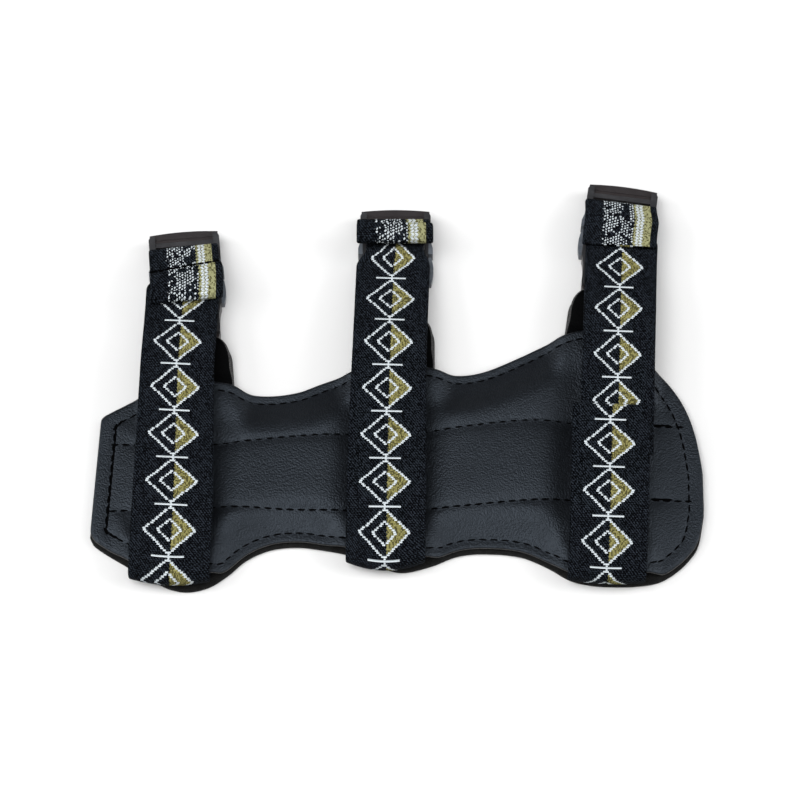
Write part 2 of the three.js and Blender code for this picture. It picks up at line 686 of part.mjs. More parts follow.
function block(halfWidth, start, end, thickness, lift = 0) {
  const shape = new THREE.Shape();
  shape.moveTo(-halfWidth, start);
  shape.lineTo(halfWidth, start);
  shape.lineTo(halfWidth, end);
  shape.lineTo(-halfWidth, end);
  return plate(shape, thickness, lift);
}

// Raised side rail of the plug, wider where it meets the socket and with its far corners cut off.
function railShape(side) {
  const inner = (side * SLOT_WIDTH) / 2;
  const outer = (side * BUCKLE_WIDTH) / 2;
  const corner = side * RAIL_CORNER;
  const end = BUCKLE_LENGTH - END_BAR_BOW;
  const flange = side * FLANGE_REACH;
  const rail = new THREE.Shape();
  rail.moveTo(inner, PLUG_START);
  rail.lineTo(flange, PLUG_START);
  rail.lineTo(flange, PLUG_START + FLANGE_LENGTH / 2);
  rail.lineTo(outer, PLUG_START + FLANGE_LENGTH);
  rail.lineTo(outer, end - 2 * RAIL_CORNER);
  rail.lineTo(outer - corner, end);
  rail.lineTo(inner, end);
  return rail;
}

// Sprung arm of the plug: a button that stands out of the socket's window, and a tip that tapers inwards.
function armShape(side) {
  const outer = side * (SLOT_WIDTH / 2 - ARM_CLEARANCE);
  const inner = outer - side * ARM_WIDTH;
  const button = side * (BUTTON_REACH - BUTTON_BULGE);
  const buttonEnd = SOCKET_END - ARM_CLEARANCE;
  const buttonStart = WINDOW_START + ARM_CLEARANCE;
  const bulge = side * (BUTTON_REACH + BUTTON_BULGE);
  const tip = CAVITY_START + 2 * ARM_CLEARANCE;
  const arm = new THREE.Shape();
  arm.moveTo(inner, PLUG_START + JOINT_OVERLAP);
  arm.lineTo(outer, PLUG_START + JOINT_OVERLAP);
  arm.lineTo(outer, buttonEnd);
  arm.lineTo(button, buttonEnd);
  arm.quadraticCurveTo(bulge, (buttonStart + buttonEnd) / 2, button, buttonStart);
  arm.lineTo(outer, buttonStart);
  arm.lineTo(inner + side * ARM_TIP_WIDTH, tip);
  arm.lineTo(inner, tip);
  return arm;
}

// Plug half: side rails, shoulder, ladder bar and bowed end bar, with two sprung arms and a guide.
function plugSolid() {
  const reach = SLOT_WIDTH / 2 + JOINT_OVERLAP;
  const endStart = BUCKLE_LENGTH - END_BAR;
  const barStart = FIRST_SLOT + SLOT_LENGTH / 2;
  const shoulderEnd = FIRST_SLOT - SLOT_LENGTH / 2;
  const endBar = new THREE.Shape();
  endBar.moveTo(-reach, endStart);
  endBar.lineTo(reach, endStart);
  endBar.lineTo(reach, BUCKLE_LENGTH - END_BAR_BOW);
  endBar.quadraticCurveTo(0, BUCKLE_LENGTH + END_BAR_BOW, -reach, BUCKLE_LENGTH - END_BAR_BOW);
  const pieces = [
    plate(endBar, BAR_THICKNESS),
    block(reach, PLUG_START, shoulderEnd, SHOULDER_THICKNESS),
    block(reach, barStart, barStart + LADDER_BAR, BAR_THICKNESS),
    block(GUIDE_WIDTH / 2, WINDOW_START, PLUG_START + JOINT_OVERLAP, GUIDE_THICKNESS),
  ];
  for (const side of [-1, 1]) {
    pieces.push(plate(railShape(side), RAIL_THICKNESS), plate(armShape(side), ARM_THICKNESS));
  }
  return pieces.reduce((whole, piece) => whole.add(piece));
}

// Socket half: bar for the tab, waisted body hollow to its mouth, and a window on each side for the arms.
function socketSolid() {
  const half = SOCKET_BAR_WIDTH / 2;
  const waist = SOCKET_WAIST / 2;
  const slotEnd = TAB_BAR + SLOT_LENGTH;
  const outline = new THREE.Shape();
  outline.moveTo(-half + SOCKET_CORNER, 0);
  outline.lineTo(half - SOCKET_CORNER, 0);
  outline.quadraticCurveTo(half, 0, half, SOCKET_CORNER);
  outline.lineTo(half, slotEnd);
  outline.quadraticCurveTo(half, slotEnd + WAIST_RUN, waist, WINDOW_START);
  outline.lineTo(waist, SOCKET_END);
  outline.quadraticCurveTo(0, SOCKET_END - MOUTH_DIP, -waist, SOCKET_END);
  outline.lineTo(-waist, WINDOW_START);
  outline.quadraticCurveTo(-half, slotEnd + WAIST_RUN, -half, slotEnd);
  outline.lineTo(-half, SOCKET_CORNER);
  outline.quadraticCurveTo(-half, 0, -half + SOCKET_CORNER, 0);
  const past = waist + CUT_PAST;
  const mouth = SOCKET_END + CUT_PAST;
  const hollow = ARM_THICKNESS + 2 * FIT_GAP;
  const thinning = SOCKET_THICKNESS - BAR_THICKNESS;
  const cuts = [
    block(TAB_LOOP_WIDTH / 2 + TAB_LOOP_ROOM, TAB_BAR, slotEnd, SOCKET_THICKNESS + CUT_PAST),
    block(past, -CUT_PAST, TAB_BAR, thinning, SOCKET_THICKNESS / 2),
    block(past, -CUT_PAST, TAB_BAR, thinning, -SOCKET_THICKNESS / 2),
    block(CAVITY_WIDTH / 2, CAVITY_START, mouth, hollow),
    block(past, WINDOW_START, mouth, hollow),
  ];
  return cuts.reduce((whole, cut) => whole.subtract(cut), plate(outline, SOCKET_THICKNESS));
}

const plugGeometry = geometryFrom(plugSolid());
const socketGeometry = geometryFrom(socketSolid());

const armGuard = new THREE.Group();
armGuard.name = "arm_guard";

function addPiece(parent, name, geometry, material) {
  const mesh = new THREE.Mesh(geometry, material.clone());
  mesh.name = name;
  parent.add(mesh);
}

addPiece(armGuard, "backing_panel", backingGeometry, felt);
addPiece(armGuard, "face_panel", faceGeometry, vinyl);
for (const strap of STRAPS) {
  const { pathAt, buckleStart } = strapPath(strap);
  const strapLine = bentLine(strapCorners(strap, buckleStart), STRAP_BEND_STEPS);
  const strapGeometry = stripGeometry(strapLine, STRAP_THICKNESS, pathAt, STRAP_LINES, strap.foot.bow);
  addPiece(armGuard, "strap_" + strap.name, strapGeometry, elastic);
  const tabLine = bentLine(tabCorners(), TAB_BEND_STEPS);
  const tabGeometry = stripGeometry(tabLine, TAB_THICKNESS, buckleAxis(strap), TAB_LINES);
  addPiece(armGuard, "tab_" + strap.name, tabGeometry, vinyl);
  const buckle = new THREE.Group();
  const start = buckleAxis(strap)(TAB_REACH).place;
  buckle.position.set(start.x, start.y, BUCKLE_MIDDLE_HEIGHT);
  buckle.rotation.z = THREE.MathUtils.degToRad(strap.base.turn);
  addPiece(buckle, "buckle_plug_" + strap.name, plugGeometry, plastic);
  addPiece(buckle, "buckle_socket_" + strap.name, socketGeometry, plastic);
  armGuard.add(buckle);
}

// The origin lies under the middle of the whole part.
const whole = new THREE.Box3().setFromObject(armGuard, true);
armGuard.position.y = -(whole.min.y + whole.max.y) / 2;

export default armGuard;
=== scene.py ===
import math

import bmesh
import bpy
import numpy as np
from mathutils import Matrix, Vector


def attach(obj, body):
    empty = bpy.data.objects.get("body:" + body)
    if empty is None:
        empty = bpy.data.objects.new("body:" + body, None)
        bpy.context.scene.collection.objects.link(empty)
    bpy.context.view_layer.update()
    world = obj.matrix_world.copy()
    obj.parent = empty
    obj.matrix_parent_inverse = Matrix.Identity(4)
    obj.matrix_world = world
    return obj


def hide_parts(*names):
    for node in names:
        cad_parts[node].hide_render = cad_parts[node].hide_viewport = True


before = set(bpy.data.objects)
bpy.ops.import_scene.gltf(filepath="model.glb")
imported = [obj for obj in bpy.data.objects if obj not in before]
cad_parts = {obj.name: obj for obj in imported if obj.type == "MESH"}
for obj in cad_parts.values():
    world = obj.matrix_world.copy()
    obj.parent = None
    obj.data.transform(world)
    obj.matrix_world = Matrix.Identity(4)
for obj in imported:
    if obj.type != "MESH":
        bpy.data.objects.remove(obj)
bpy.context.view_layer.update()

# Backing panel: dark felted cloth 2 mm thick, cut to the pad's outline with a lobe under each strap.
# It lies flat on the table, and the straps' ends and the buckle tabs are sewn between it and the face.
# sizes are in millimetres, on the pad's own measure; the shift brings the part's middle to the frame's origin
MM = 0.001
CENTRE_SHIFT = -0.3975
PAD_HALF_LENGTH = 102.0
BACKING_THICKNESS = 2.0
BACKING_EDGE_ROUND = 0.7
BACKING_TOP_ROUND = 0.5
BACKING_UNDER_ROUND = 0.4
BACKING_COLUMNS = 200
BACKING_ROWS = 30
BACKING_EDGE_SHARE = 0.006
END_CROWDING = 0.45
POINTS_AT_ONCE = 2000
LEAST_LENGTH = 1e-12
LOW, HIGH, LEAN = 1, 2, 3
# place along the pad, edge on the strap side, edge on the buckle side, lean of that edge to the elbow
PAD_SECTIONS = np.array([
    (-102, -53.5, -11.5, 2.6),
    (-100.5, -56.3, -10.2, 2.2),
    (-90, -63.2, -5, 1),
    (-80, -69, 0.4, 0),
    (-75, -71.4, 1.8, 0),
    (-69, -72.3, 1.9, 0),
    (-62, -70.6, 1.2, 0),
    (-56, -66.6, 0.2, 0),
    (-50, -61.3, -2.4, 0),
    (-42, -57.6, -3, 0),
    (-33, -56.6, -1.6, 0),
    (-26, -57.4, 1.2, 0),
    (-16, -59.4, 4.8, 0),
    (-8, -62.6, 7.4, 0),
    (1, -65.5, 8.2, 0),
    (11, -63.4, 6.2, 0),
    (20, -59.8, 4.4, 0),
    (29, -58.9, 5.7, 0),
    (41, -60.1, 10.9, 0),
    (50, -64, 15.4, 0),
    (57, -68.2, 18.4, 0),
    (64, -70, 19.8, 0),
    (71, -70.5, 18.2, 0),
    (79, -70.3, 13.2, 0),
    (86.5, -69, 6.4, 0),
    (92, -65.8, 0.4, 0),
    (97, -61, -8.2, 0),
    (100.2, -55.5, -18.7, 0),
    (102, -46, -31, 0),
])


def on_curve(table, column, x):
    """Value of one column of a table at places along the pad, on a smooth curve through its rows."""
    x = np.asarray(x, float)
    place, value = table[:, 0], table[:, column]
    last = len(place) - 1
    after = np.minimum(np.arange(last + 1) + 1, last)
    before = np.maximum(np.arange(last + 1) - 1, 0)
    slope = (value[after] - value[before]) / (place[after] - place[before])
    i = np.clip(np.searchsorted(place, x), 1, last)
    span = place[i] - place[i - 1]
    t = np.clip((x - place[i - 1]) / span, 0, 1)
    rest = 1 - t
    start = value[i - 1] * rest**2 * (1 + 2 * t) + slope[i - 1] * span * t * rest**2
    return start + value[i] * t**2 * (3 - 2 * t) - slope[i] * span * t**2 * rest


def smooth(value):
    t = np.clip(value, 0, 1)
    return t * t * (3 - 2 * t)


def places_along(count):
    """Places along the pad, closer together near both ends."""
    i = np.arange(count + 1)
    even = 2 * i / count - 1
    crowded = -np.cos(np.pi * i / count)
    return PAD_HALF_LENGTH * (even * (1 - END_CROWDING) + crowded * END_CROWDING)


def pad_grid(x, y):
    """Places of a grid over the pad, from its columns x and the heights y across each of them."""
    low = y[:, :1]
    high = y[:, -1:]
    share = (y - low) / (high - low)
    return np.dstack([x[:, None] + on_curve(PAD_SECTIONS, LEAN, x)[:, None] * share, y])


def border_of(shape):
    """Indices round the border of a grid, counter-clockwise seen from above."""
    index = np.arange(shape[0] * shape[1]).reshape(shape[:2])
    return np.concatenate([index[:-1, 0], index[-1, :-1], index[:0:-1, -1], index[0, :0:-1]])


def edge_distance(points, edge):
    """Distance from each point to the nearest part of a closed line of edge points."""
    along = np.roll(edge, -1, axis=0) - edge
    size = np.maximum((along**2).sum(1), LEAST_LENGTH)
    nearest = []
    for part in np.array_split(points, max(1, len(points) // POINTS_AT_ONCE)):
        away = part[:, None, :] - edge[None]
        t = np.clip((away * along[None]).sum(2) / size[None], 0, 1)
        nearest.append(np.hypot(*np.moveaxis(away - t[..., None] * along[None], 2, 0)).min(1))
    return np.concatenate(nearest)


def new_object(name, data):
    made = bpy.data.objects.new(name, data)
    bpy.context.scene.collection.objects.link(made)
    return made


def piece_from(name, points, faces):
    """Smooth-shaded object from points in millimetres on the pad's own measure."""
    mesh = bpy.data.meshes.new(name)
    placed = (np.asarray(points, float) + (0, CENTRE_SHIFT, 0)) * MM
    mesh.from_pydata(placed.tolist(), [], [list(map(int, f)) for f in faces])
    mesh.shade_smooth()
    return new_object(name, mesh)


def grid_faces(index):
    """Four-cornered faces between the points of a grid."""
    return np.stack([index[:-1, :-1], index[1:, :-1], index[1:, 1:], index[:-1, 1:]], 2).reshape(-1, 4)


def panel_from(name, places, top, under):
    """Closed panel between an upper and a lower skin over the same grid."""
    count = top.size
    points = np.concatenate([np.dstack([places, h]).reshape(-1, 3) for h in (top, under)])
    upper = grid_faces(np.arange(count).reshape(top.shape))
    lower = upper[:, ::-1] + count
    ring = border_of(places.shape)
    after = np.roll(ring, -1)
    rim = np.stack([ring + count, after + count, after, ring], 1)
    return piece_from(name, points, np.concatenate([upper, lower, rim]))


def fill_inputs(tree, made, inputs):
    """Link or set each of a node's inputs."""
    for key, value in dict(inputs).items():
        if isinstance(value, bpy.types.NodeSocket):
            tree.links.new(value, made.inputs[key])
        else:
            made.inputs[key].default_value = value


def add_node(tree, kind, inputs=(), **settings):
    made = tree.nodes.new(kind)
    for key, value in settings.items():
        setattr(made, key, value)
    fill_inputs(tree, made, inputs)
    return made


def maths(tree, operation, *values):
    return add_node(tree, "ShaderNodeMath", enumerate(values), operation=operation).outputs[0]


MIX_FIRST, MIX_SECOND, MIX_RESULT = 6, 7, 2


def mixed(tree, share, first, second):
    """Colour between two colours, by a share of the second."""
    first, second = (c if isinstance(c, bpy.types.NodeSocket) else (*c, 1) for c in (first, second))
    inputs = {"Factor": share, MIX_FIRST: first, MIX_SECOND: second}
    return add_node(tree, "ShaderNodeMix", inputs, data_type="RGBA").outputs[MIX_RESULT]


def banded(tree, value, low, high):
    """Value brought to 0 at low and 1 at high, smoothly between."""
    inputs = {"Value": value, "From Min": low, "From Max": high}
    return add_node(tree, "ShaderNodeMapRange", inputs, interpolation_type="SMOOTHSTEP").outputs[0]


def new_material(name):
    material = bpy.data.materials.new(name)
    material.use_nodes = True
    return material, material.node_tree, material.node_tree.nodes["Principled BSDF"]


def object_place(tree):
    return add_node(tree, "ShaderNodeTexCoord").outputs["Object"]


def noise(tree, place, scale, detail=3.0, roughness=0.55):
    inputs = {"Vector": place, "Scale": scale, "Detail": detail, "Roughness": roughness}
    return add_node(tree, "ShaderNodeTexNoise", inputs).outputs["Fac"]


def bump(tree, height, distance):
    inputs = {"Height": height, "Distance": distance, "Strength": 1.0}
    return add_node(tree, "ShaderNodeBump", inputs).outputs["Normal"]


FELT_DARK = (0.0016, 0.0016, 0.0016)
FELT_LIGHT = (0.0125, 0.0126, 0.0124)
felt, tree, shader = new_material("felted_cloth")
place = object_place(tree)
fibres = noise(tree, place, scale=2600, detail=4, roughness=0.7)
clumps = noise(tree, place, scale=420)
shade = maths(tree, "MULTIPLY_ADD", fibres, 0.7, maths(tree, "MULTIPLY", clumps, 0.3))
fill_inputs(tree, shader, {
    "Base Color": mixed(tree, banded(tree, shade, 0.34, 0.68), FELT_DARK, FELT_LIGHT),
    "Normal": bump(tree, shade, distance=0.0006),
    "Roughness": 0.95,
    "Specular IOR Level": 0.05,
    "Sheen Weight": 0.04,
    "Sheen Roughness": 0.6,
})

x = places_along(BACKING_COLUMNS)
low = on_curve(PAD_SECTIONS, LOW, x)
high = on_curve(PAD_SECTIONS, HIGH, x)
edge_rows = (BACKING_EDGE_SHARE, 1 - BACKING_EDGE_SHARE)
shares = np.sort(np.concatenate([np.linspace(0, 1, BACKING_ROWS), edge_rows]))
grid = pad_grid(x, low[:, None] + (high - low)[:, None] * shares)
backing_edge = grid.reshape(-1, 2)[border_of(grid.shape)]
inside = edge_distance(grid.reshape(-1, 2), backing_edge).reshape(grid.shape[:2])
edge_round = np.clip(1 - inside / BACKING_EDGE_ROUND, 0, 1) ** 2
top = BACKING_THICKNESS - BACKING_TOP_ROUND * edge_round
backing = panel_from("backing", grid, top, BACKING_UNDER_ROUND * edge_round)
backing.data.materials.append(felt)
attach(backing, "root")
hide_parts("backing_panel")

# Straps: 25 mm woven elastic, 1.5 mm thick, with black selvedges and a woven band of outlined lozenges.
# Each is sewn in at the pad's edge, folds over the face, turns round its buckle's ladder bar and ends in
# a short tail that shows the back of the weave; the elbow strap is taken up in a pleat.
STRAP_WIDTH = 25.4
STRAP_THICKNESS = 1.5
SLOT_STRAP_WIDTH = 18.8
SEWN_LENGTH = 8.0
LAYER_GAP = 0.25
FOLD_RADIUS = 2.9
FOLD_BOW_REACH = 12.0
STRAP_RISE_RUN = 18.0
BRIDGE_HEIGHT = 14.0
BRIDGE_BEND = 25.0
BRIDGE_END_BEFORE_BUCKLE = 8.0
PLEAT_PITCH = 1.9
PLEAT_FOLD = 3.2
PLEAT_OVERLAP = 15.0
STRAIGHT_RUN = 60.0
JOIN_BEFORE_SLOT = 5.0
JOIN_EASE = 10.0
TAB_REACH = 13.5
FIRST_SLOT = 27.4
STRAP_IN_FIRST_SLOT = 28.05
STRAP_IN_SECOND_SLOT = 33.15
OVER_SOCKET = 9.05
LEVEL_RUN = 10.0
LEVEL_BEND = 10.0
SQUEEZED_WIDTH = 23.0
SQUEEZE_RUN = 6.6
SLOT_ENTRY_WIDTH = 19.6
SLOT_ENTRY_BEND = 4.4
SLOT_BEND = 1.6
UNDER_BAR = 1.55
OVER_RAIL = 7.0
TAIL_EASE = 4.0
CREASE_RISE = 0.55
TAIL_SAG_RUN = 6.2
CREASE_RUN = 0.7
HEM_EASE = 0.12
BEND_EASE = 0.02
RING_STEP = 0.5
STRAP_LINES = 25
SELVEDGE_TURNS = 5
PATH_STEPS = 800
BEND_STEPS = 24
EASE_WINDOW = 9
# foot is the middle of the fold, base the middle of the tab at the pad's edge, and lean and turn are degrees;
# widths and slips to the elbow are those at the fold, on the upper run, where the tail leaves its slot and
# at the tail's end; phase shifts the woven pattern, and pleat is the place of the pleat's crown
STRAPS = [
    dict(name="wrist", foot=(-75.8, -67.0), lean=-2.6, bow=1.6, base=(-68.2, 1.7), turn=5.0,
         widths=(26.9, 24.7, 23.6, 24.6), slips=(0.6, -1.4, -0.4, 0.1), tail_start=10.4, tail_out=0.0,
         tail_sag=1.3, tail=20.2, tail_end=14.2, tail_skew=-1.4, hem=8.5, hem_bend=1.15, crease=9.2,
         phase=3.0, pleat=None),
    dict(name="middle", foot=(-3.3, -61.4), lean=-0.5, bow=2.6, base=(-0.6, 9.7), turn=0.0,
         widths=(26.3, 24.9, 24.8, 26.0), slips=(-0.6, -0.75, -0.7, -0.2), tail_start=12.0, tail_out=1.6,
         tail_sag=0.0, tail=6.9, tail_end=14.8, tail_skew=0.0, hem=4.6, hem_bend=1.8, crease=1.0,
         phase=9.0, pleat=None),
    dict(name="elbow", foot=(69.5, -67.0), lean=-2.3, bow=0.8, base=(70.0, 18.9), turn=-8.0,
         widths=(25.9, 24.4, 24.6, 25.2), slips=(-0.4, 1.75, -0.1, 0.9), tail_start=8.7, tail_out=0.0,
         tail_sag=0.0, tail=17.0, tail_end=11.5, tail_skew=0.0, hem=0.0, hem_bend=0.0, crease=6.6,
         phase=6.5, pleat=54.3),
]


def turned(degrees):
    angle = math.radians(degrees)
    return np.array([-math.sin(angle), math.cos(angle)])


def unit(ways):
    """Ways brought to a length of 1."""
    return ways / np.linalg.norm(ways, axis=-1, keepdims=True)


def reach_along(points):
    """Length along a line of points, up to each of them."""
    return np.concatenate([[0], np.cumsum(np.hypot(*np.diff(points, axis=0).T))])


def strap_path(strap):
    """Path of a strap over the table: straight out of its fold, bending gently into its buckle's axis."""
    lean = turned(strap["lean"])
    heading = turned(strap["turn"])
    foot = np.array(strap["foot"])
    join_place = TAB_REACH + FIRST_SLOT - JOIN_BEFORE_SLOT
    join = np.array(strap["base"]) + heading * join_place
    ends = [foot, foot + lean * STRAIGHT_RUN, join - heading * JOIN_EASE, join]
    t = np.linspace(0, 1, PATH_STEPS)[:, None]
    bend = (1 - t) ** 3 * ends[0] + 3 * (1 - t) ** 2 * t * ends[1]
    bend = bend + 3 * (1 - t) * t**2 * ends[2] + t**3 * ends[3]
    reach = reach_along(bend)
    course = np.gradient(bend, reach, axis=0)

    def path_at(v):
        on_bend = np.clip(v, 0, reach[-1])
        place = np.stack([np.interp(on_bend, reach, bend[:, k]) for k in (0, 1)], -1)
        facing = unit(np.stack([np.interp(on_bend, reach, course[:, k]) for k in (0, 1)], -1))
        return place + np.expand_dims(v - on_bend, -1) * facing, facing

    return path_at, reach[-1] - join_place + TAB_REACH


def bent_line(rows):
    """Even steps along a bent line, from corner rows of place, height, bend radius, width and slip."""
    points = []
    for k, (v, z, radius, width, slip) in enumerate(rows):
        here = np.array([v, z])
        if not radius:
            points.append((*here, width, slip))
            continue
        back = unit(np.array(rows[k - 1][:2]) - here)
        ahead = unit(np.array(rows[k + 1][:2]) - here)
        half = math.acos(np.clip(back @ ahead, -1, 1)) / 2
        centre = here + unit(back + ahead) * radius / math.sin(half)
        start = here + back * radius / math.tan(half) - centre
        turn = math.copysign(math.pi - 2 * half, back[1] * ahead[0] - back[0] * ahead[1])
        for angle in np.linspace(0, turn, BEND_STEPS):
            c, s = math.cos(angle), math.sin(angle)
            bent = centre + (start[0] * c - start[1] * s, start[0] * s + start[1] * c)
            points.append((*bent, width, slip))
    points = np.array(points)
    reach = reach_along(points[:, :2])
    even = np.linspace(0, reach[-1], max(2, int(round(reach[-1] / RING_STEP)) + 1))
    v, z, width, slip = (np.interp(even, reach, points[:, k]) for k in range(4))
    ease = np.hanning(EASE_WINDOW) / np.hanning(EASE_WINDOW).sum()
    beside = EASE_WINDOW // 2
    width, slip = (np.convolve(np.pad(a, beside, mode="edge"), ease, mode="valid") for a in (width, slip))
    return even, v, z, width, slip


def strap_rows(strap, buckle_start):
    """Corner rows of one strap from its sewn end to the end of its tail's hem."""
    wide, run, tail_root, tail = strap["widths"]
    foot_slip, run_slip, root_slip, tail_slip = strap["slips"]
    narrow = SLOT_STRAP_WIDTH
    sewn = BACKING_THICKNESS + LAYER_GAP + STRAP_THICKNESS / 2
    fold = FOLD_RADIUS - BEND_EASE
    first = BRIDGE_HEIGHT + (PLEAT_PITCH + PLEAT_FOLD if strap["pleat"] else 0)
    rows = [
        (SEWN_LENGTH, sewn, 0, wide, foot_slip),
        (-FOLD_RADIUS, sewn, fold, wide, foot_slip),
        (-FOLD_RADIUS, sewn + 2 * FOLD_RADIUS, fold, wide, foot_slip),
        (STRAP_RISE_RUN, first, BRIDGE_BEND, wide, foot_slip),
    ]
    if strap["pleat"]:
        bend = PLEAT_PITCH / 2 - BEND_EASE
        crown = PLEAT_FOLD / 2 - BEND_EASE
        start = strap["pleat"] - PLEAT_OVERLAP
        rows += [
            (strap["pleat"], first, crown, wide, foot_slip),
            (strap["pleat"], BRIDGE_HEIGHT + PLEAT_PITCH, crown, wide, foot_slip),
            (start, BRIDGE_HEIGHT + PLEAT_PITCH, bend, run, run_slip),
            (start, BRIDGE_HEIGHT, bend, run, run_slip),
        ]
    slot1 = buckle_start + STRAP_IN_FIRST_SLOT
    slot2 = buckle_start + STRAP_IN_SECOND_SLOT
    end = slot2 - strap["tail"]
    crease = slot2 - strap["crease"]
    rows += [
        (buckle_start - BRIDGE_END_BEFORE_BUCKLE, BRIDGE_HEIGHT, BRIDGE_BEND, run, run_slip),
        (slot1 - LEVEL_RUN, OVER_SOCKET, LEVEL_BEND, run, run_slip),
        (slot1 - SQUEEZE_RUN, OVER_SOCKET, 0, SQUEEZED_WIDTH, run_slip / 2),
        (slot1, OVER_SOCKET, SLOT_ENTRY_BEND, SLOT_ENTRY_WIDTH, run_slip / 4),
        (slot1, UNDER_BAR, SLOT_BEND, narrow, 0),
        (slot2, UNDER_BAR, SLOT_BEND, narrow, 0),
        (slot2, OVER_RAIL, 0, narrow, 0),
        (slot2 + strap["tail_out"], strap["tail_start"], SLOT_BEND, tail_root, root_slip),
    ]
    if strap["hem"]:
        bend = strap["hem_bend"]
        under = strap["tail_end"] - 2 * bend - HEM_EASE
        rows += [
            (crease, strap["tail_start"] + CREASE_RISE, 0, tail_root, root_slip),
            (crease - CREASE_RUN, strap["tail_end"] - HEM_EASE, 0, tail, tail_slip),
            (end, strap["tail_end"], bend, tail, tail_slip),
            (end, under, bend, tail, tail_slip),
            (end + strap["hem"], under, 0, tail, tail_slip),
        ]
    else:
        rows += [
            (crease, strap["tail_end"] - CREASE_RUN, TAIL_EASE, tail, tail_slip),
            (end, strap["tail_end"], 0, tail, tail_slip),
        ]
    return rows


def back_sides(side, lines):
    """Which faces round a band are on its back."""
    return (side >= lines + SELVEDGE_TURNS - 1) & (side < 2 * lines + SELVEDGE_TURNS)


def selvedge_sides(side, lines):
    """Which faces round a band are on its two rounded edges."""
    first = (side >= lines - 1) & (side < lines + SELVEDGE_TURNS)
    return first | (side >= 2 * lines + SELVEDGE_TURNS - 1)


def band_from(name, line, thickness, path_at, lines, materials, second, bow=None, lift=None, phase=0.0):
    """Closed band with rounded selvedges along a bent line, with its own map: shares across, and length.
    The faces that second picks have the second material. bow moves the band's points along the path and
    lift raises them, from the reach, the place and the share."""
    reach, v, z, width, slip = line
    half = thickness / 2
    across = np.linspace(-1, 1, lines)
    turns = np.linspace(math.pi / 2, -math.pi / 2, SELVEDGE_TURNS + 2)[1:-1]
    side = np.ones(SELVEDGE_TURNS)
    share = np.concatenate([across, side, across[::-1], -side])
    over = np.concatenate([np.zeros(lines), np.cos(turns), np.zeros(lines), -np.cos(turns)]) * half
    rise = np.concatenate([np.ones(lines), np.sin(turns), -np.ones(lines), -np.sin(turns)]) * half
    ring = len(share)
    rings = len(reach)
    along = unit(np.stack([np.gradient(v, reach), np.gradient(z, reach)], -1))
    where = reach[:, None], v[:, None], share[None]
    shift = bow(*where) if bow else np.zeros((rings, ring))
    place, facing = path_at(v[:, None] + shift)
    flat = share[None] * (width[:, None] / 2 - half) + over[None]
    offset = flat + slip[:, None]
    ahead = -along[:, 1:] * rise[None]
    points = np.stack([
        place[..., 0] + facing[..., 0] * ahead + facing[..., 1] * offset,
        place[..., 1] + facing[..., 1] * ahead - facing[..., 0] * offset,
        z[:, None] + along[:, :1] * rise[None] + (lift(*where) if lift else 0),
    ], -1).reshape(-1, 3)
    i = np.arange(rings * ring).reshape(rings, ring)
    j = np.roll(i, -1, axis=1)
    faces = np.stack([i[:-1], j[:-1], j[1:], i[1:]], 2).reshape(-1, 4)
    caps = [list(i[0, ::-1]), list(i[-1])]
    piece = piece_from(name, points, faces.tolist() + caps)
    mesh = piece.data
    corner = np.zeros(len(mesh.loops), int)
    mesh.loops.foreach_get("vertex_index", corner)
    length = np.broadcast_to((reach[:, None] + phase) / STRAP_WIDTH, flat.shape).reshape(-1)
    uv = np.stack([(flat / width[:, None] + 0.5).reshape(-1)[corner], length[corner]], -1)
    mesh.uv_layers.new(name="weave").data.foreach_set("uv", uv.astype(np.float32).reshape(-1))
    in_ring = second(np.arange(ring), lines).astype(int)
    mesh.polygons.foreach_set("material_index", np.concatenate([np.tile(in_ring, rings - 1), [0, 0]]))
    for material in materials:
        mesh.materials.append(material)
    return piece


WEAVE_CELL = 0.62
YARN_WOBBLE = 0.13
LOZENGE_HALF_WIDTH = 8.1
LOZENGE_HALF_LENGTH = 7.6
LOZENGE_PITCH = 27 * WEAVE_CELL
LOZENGE_SLIP = 0.4
INNER_LOZENGE = 0.46
OUTER_LINE = 0.32
INNER_LINE = 0.3
TIE_BAR = 0.42
TIE_BAR_REACH = 5.2
GOLD_FROM = 0.2
GOLD_CELL = (0.34, 0.5)
GROUND_CELL = (0.36, 0.42)
TWILL_PITCH = 0.95
TWILL_SLANT = 0.8
CROSS_RIB_PITCH = 0.62 * TWILL_PITCH
WHITE_YARN = (0.5, 0.545, 0.57)
WHITE_PAINTED_SHADE = (0.29, 0.32, 0.34)
GOLD_YARN = (0.2, 0.185, 0.07)
GOLD_SHADE = (0.05, 0.045, 0.017)
BLACK_YARN = (0.0185, 0.0232, 0.0306)
BLACK_SHADE = (0.0002, 0.0003, 0.0006)


def weave_places(tree):
    """Millimetres across the strap from its middle, and along it."""
    uv = add_node(tree, "ShaderNodeUVMap", uv_map="weave").outputs["UV"]
    parts = add_node(tree, "ShaderNodeSeparateXYZ", {"Vector": uv})
    across = maths(tree, "MULTIPLY", maths(tree, "SUBTRACT", parts.outputs["X"], 0.5), STRAP_WIDTH)
    return across, maths(tree, "MULTIPLY", parts.outputs["Y"], STRAP_WIDTH)


def cell_number(tree, value, cell):
    return maths(tree, "FLOOR", maths(tree, "DIVIDE", value, cell))


def in_cells(tree, value, cell):
    """Middle of the cell that a value lies in."""
    return maths(tree, "MULTIPLY", maths(tree, "ADD", cell_number(tree, value, cell), 0.5), cell)


def wave(tree, value, pitch):
    """Sine of a place, with one wave in each pitch."""
    return maths(tree, "SINE", maths(tree, "MULTIPLY", value, 2 * math.pi / pitch))


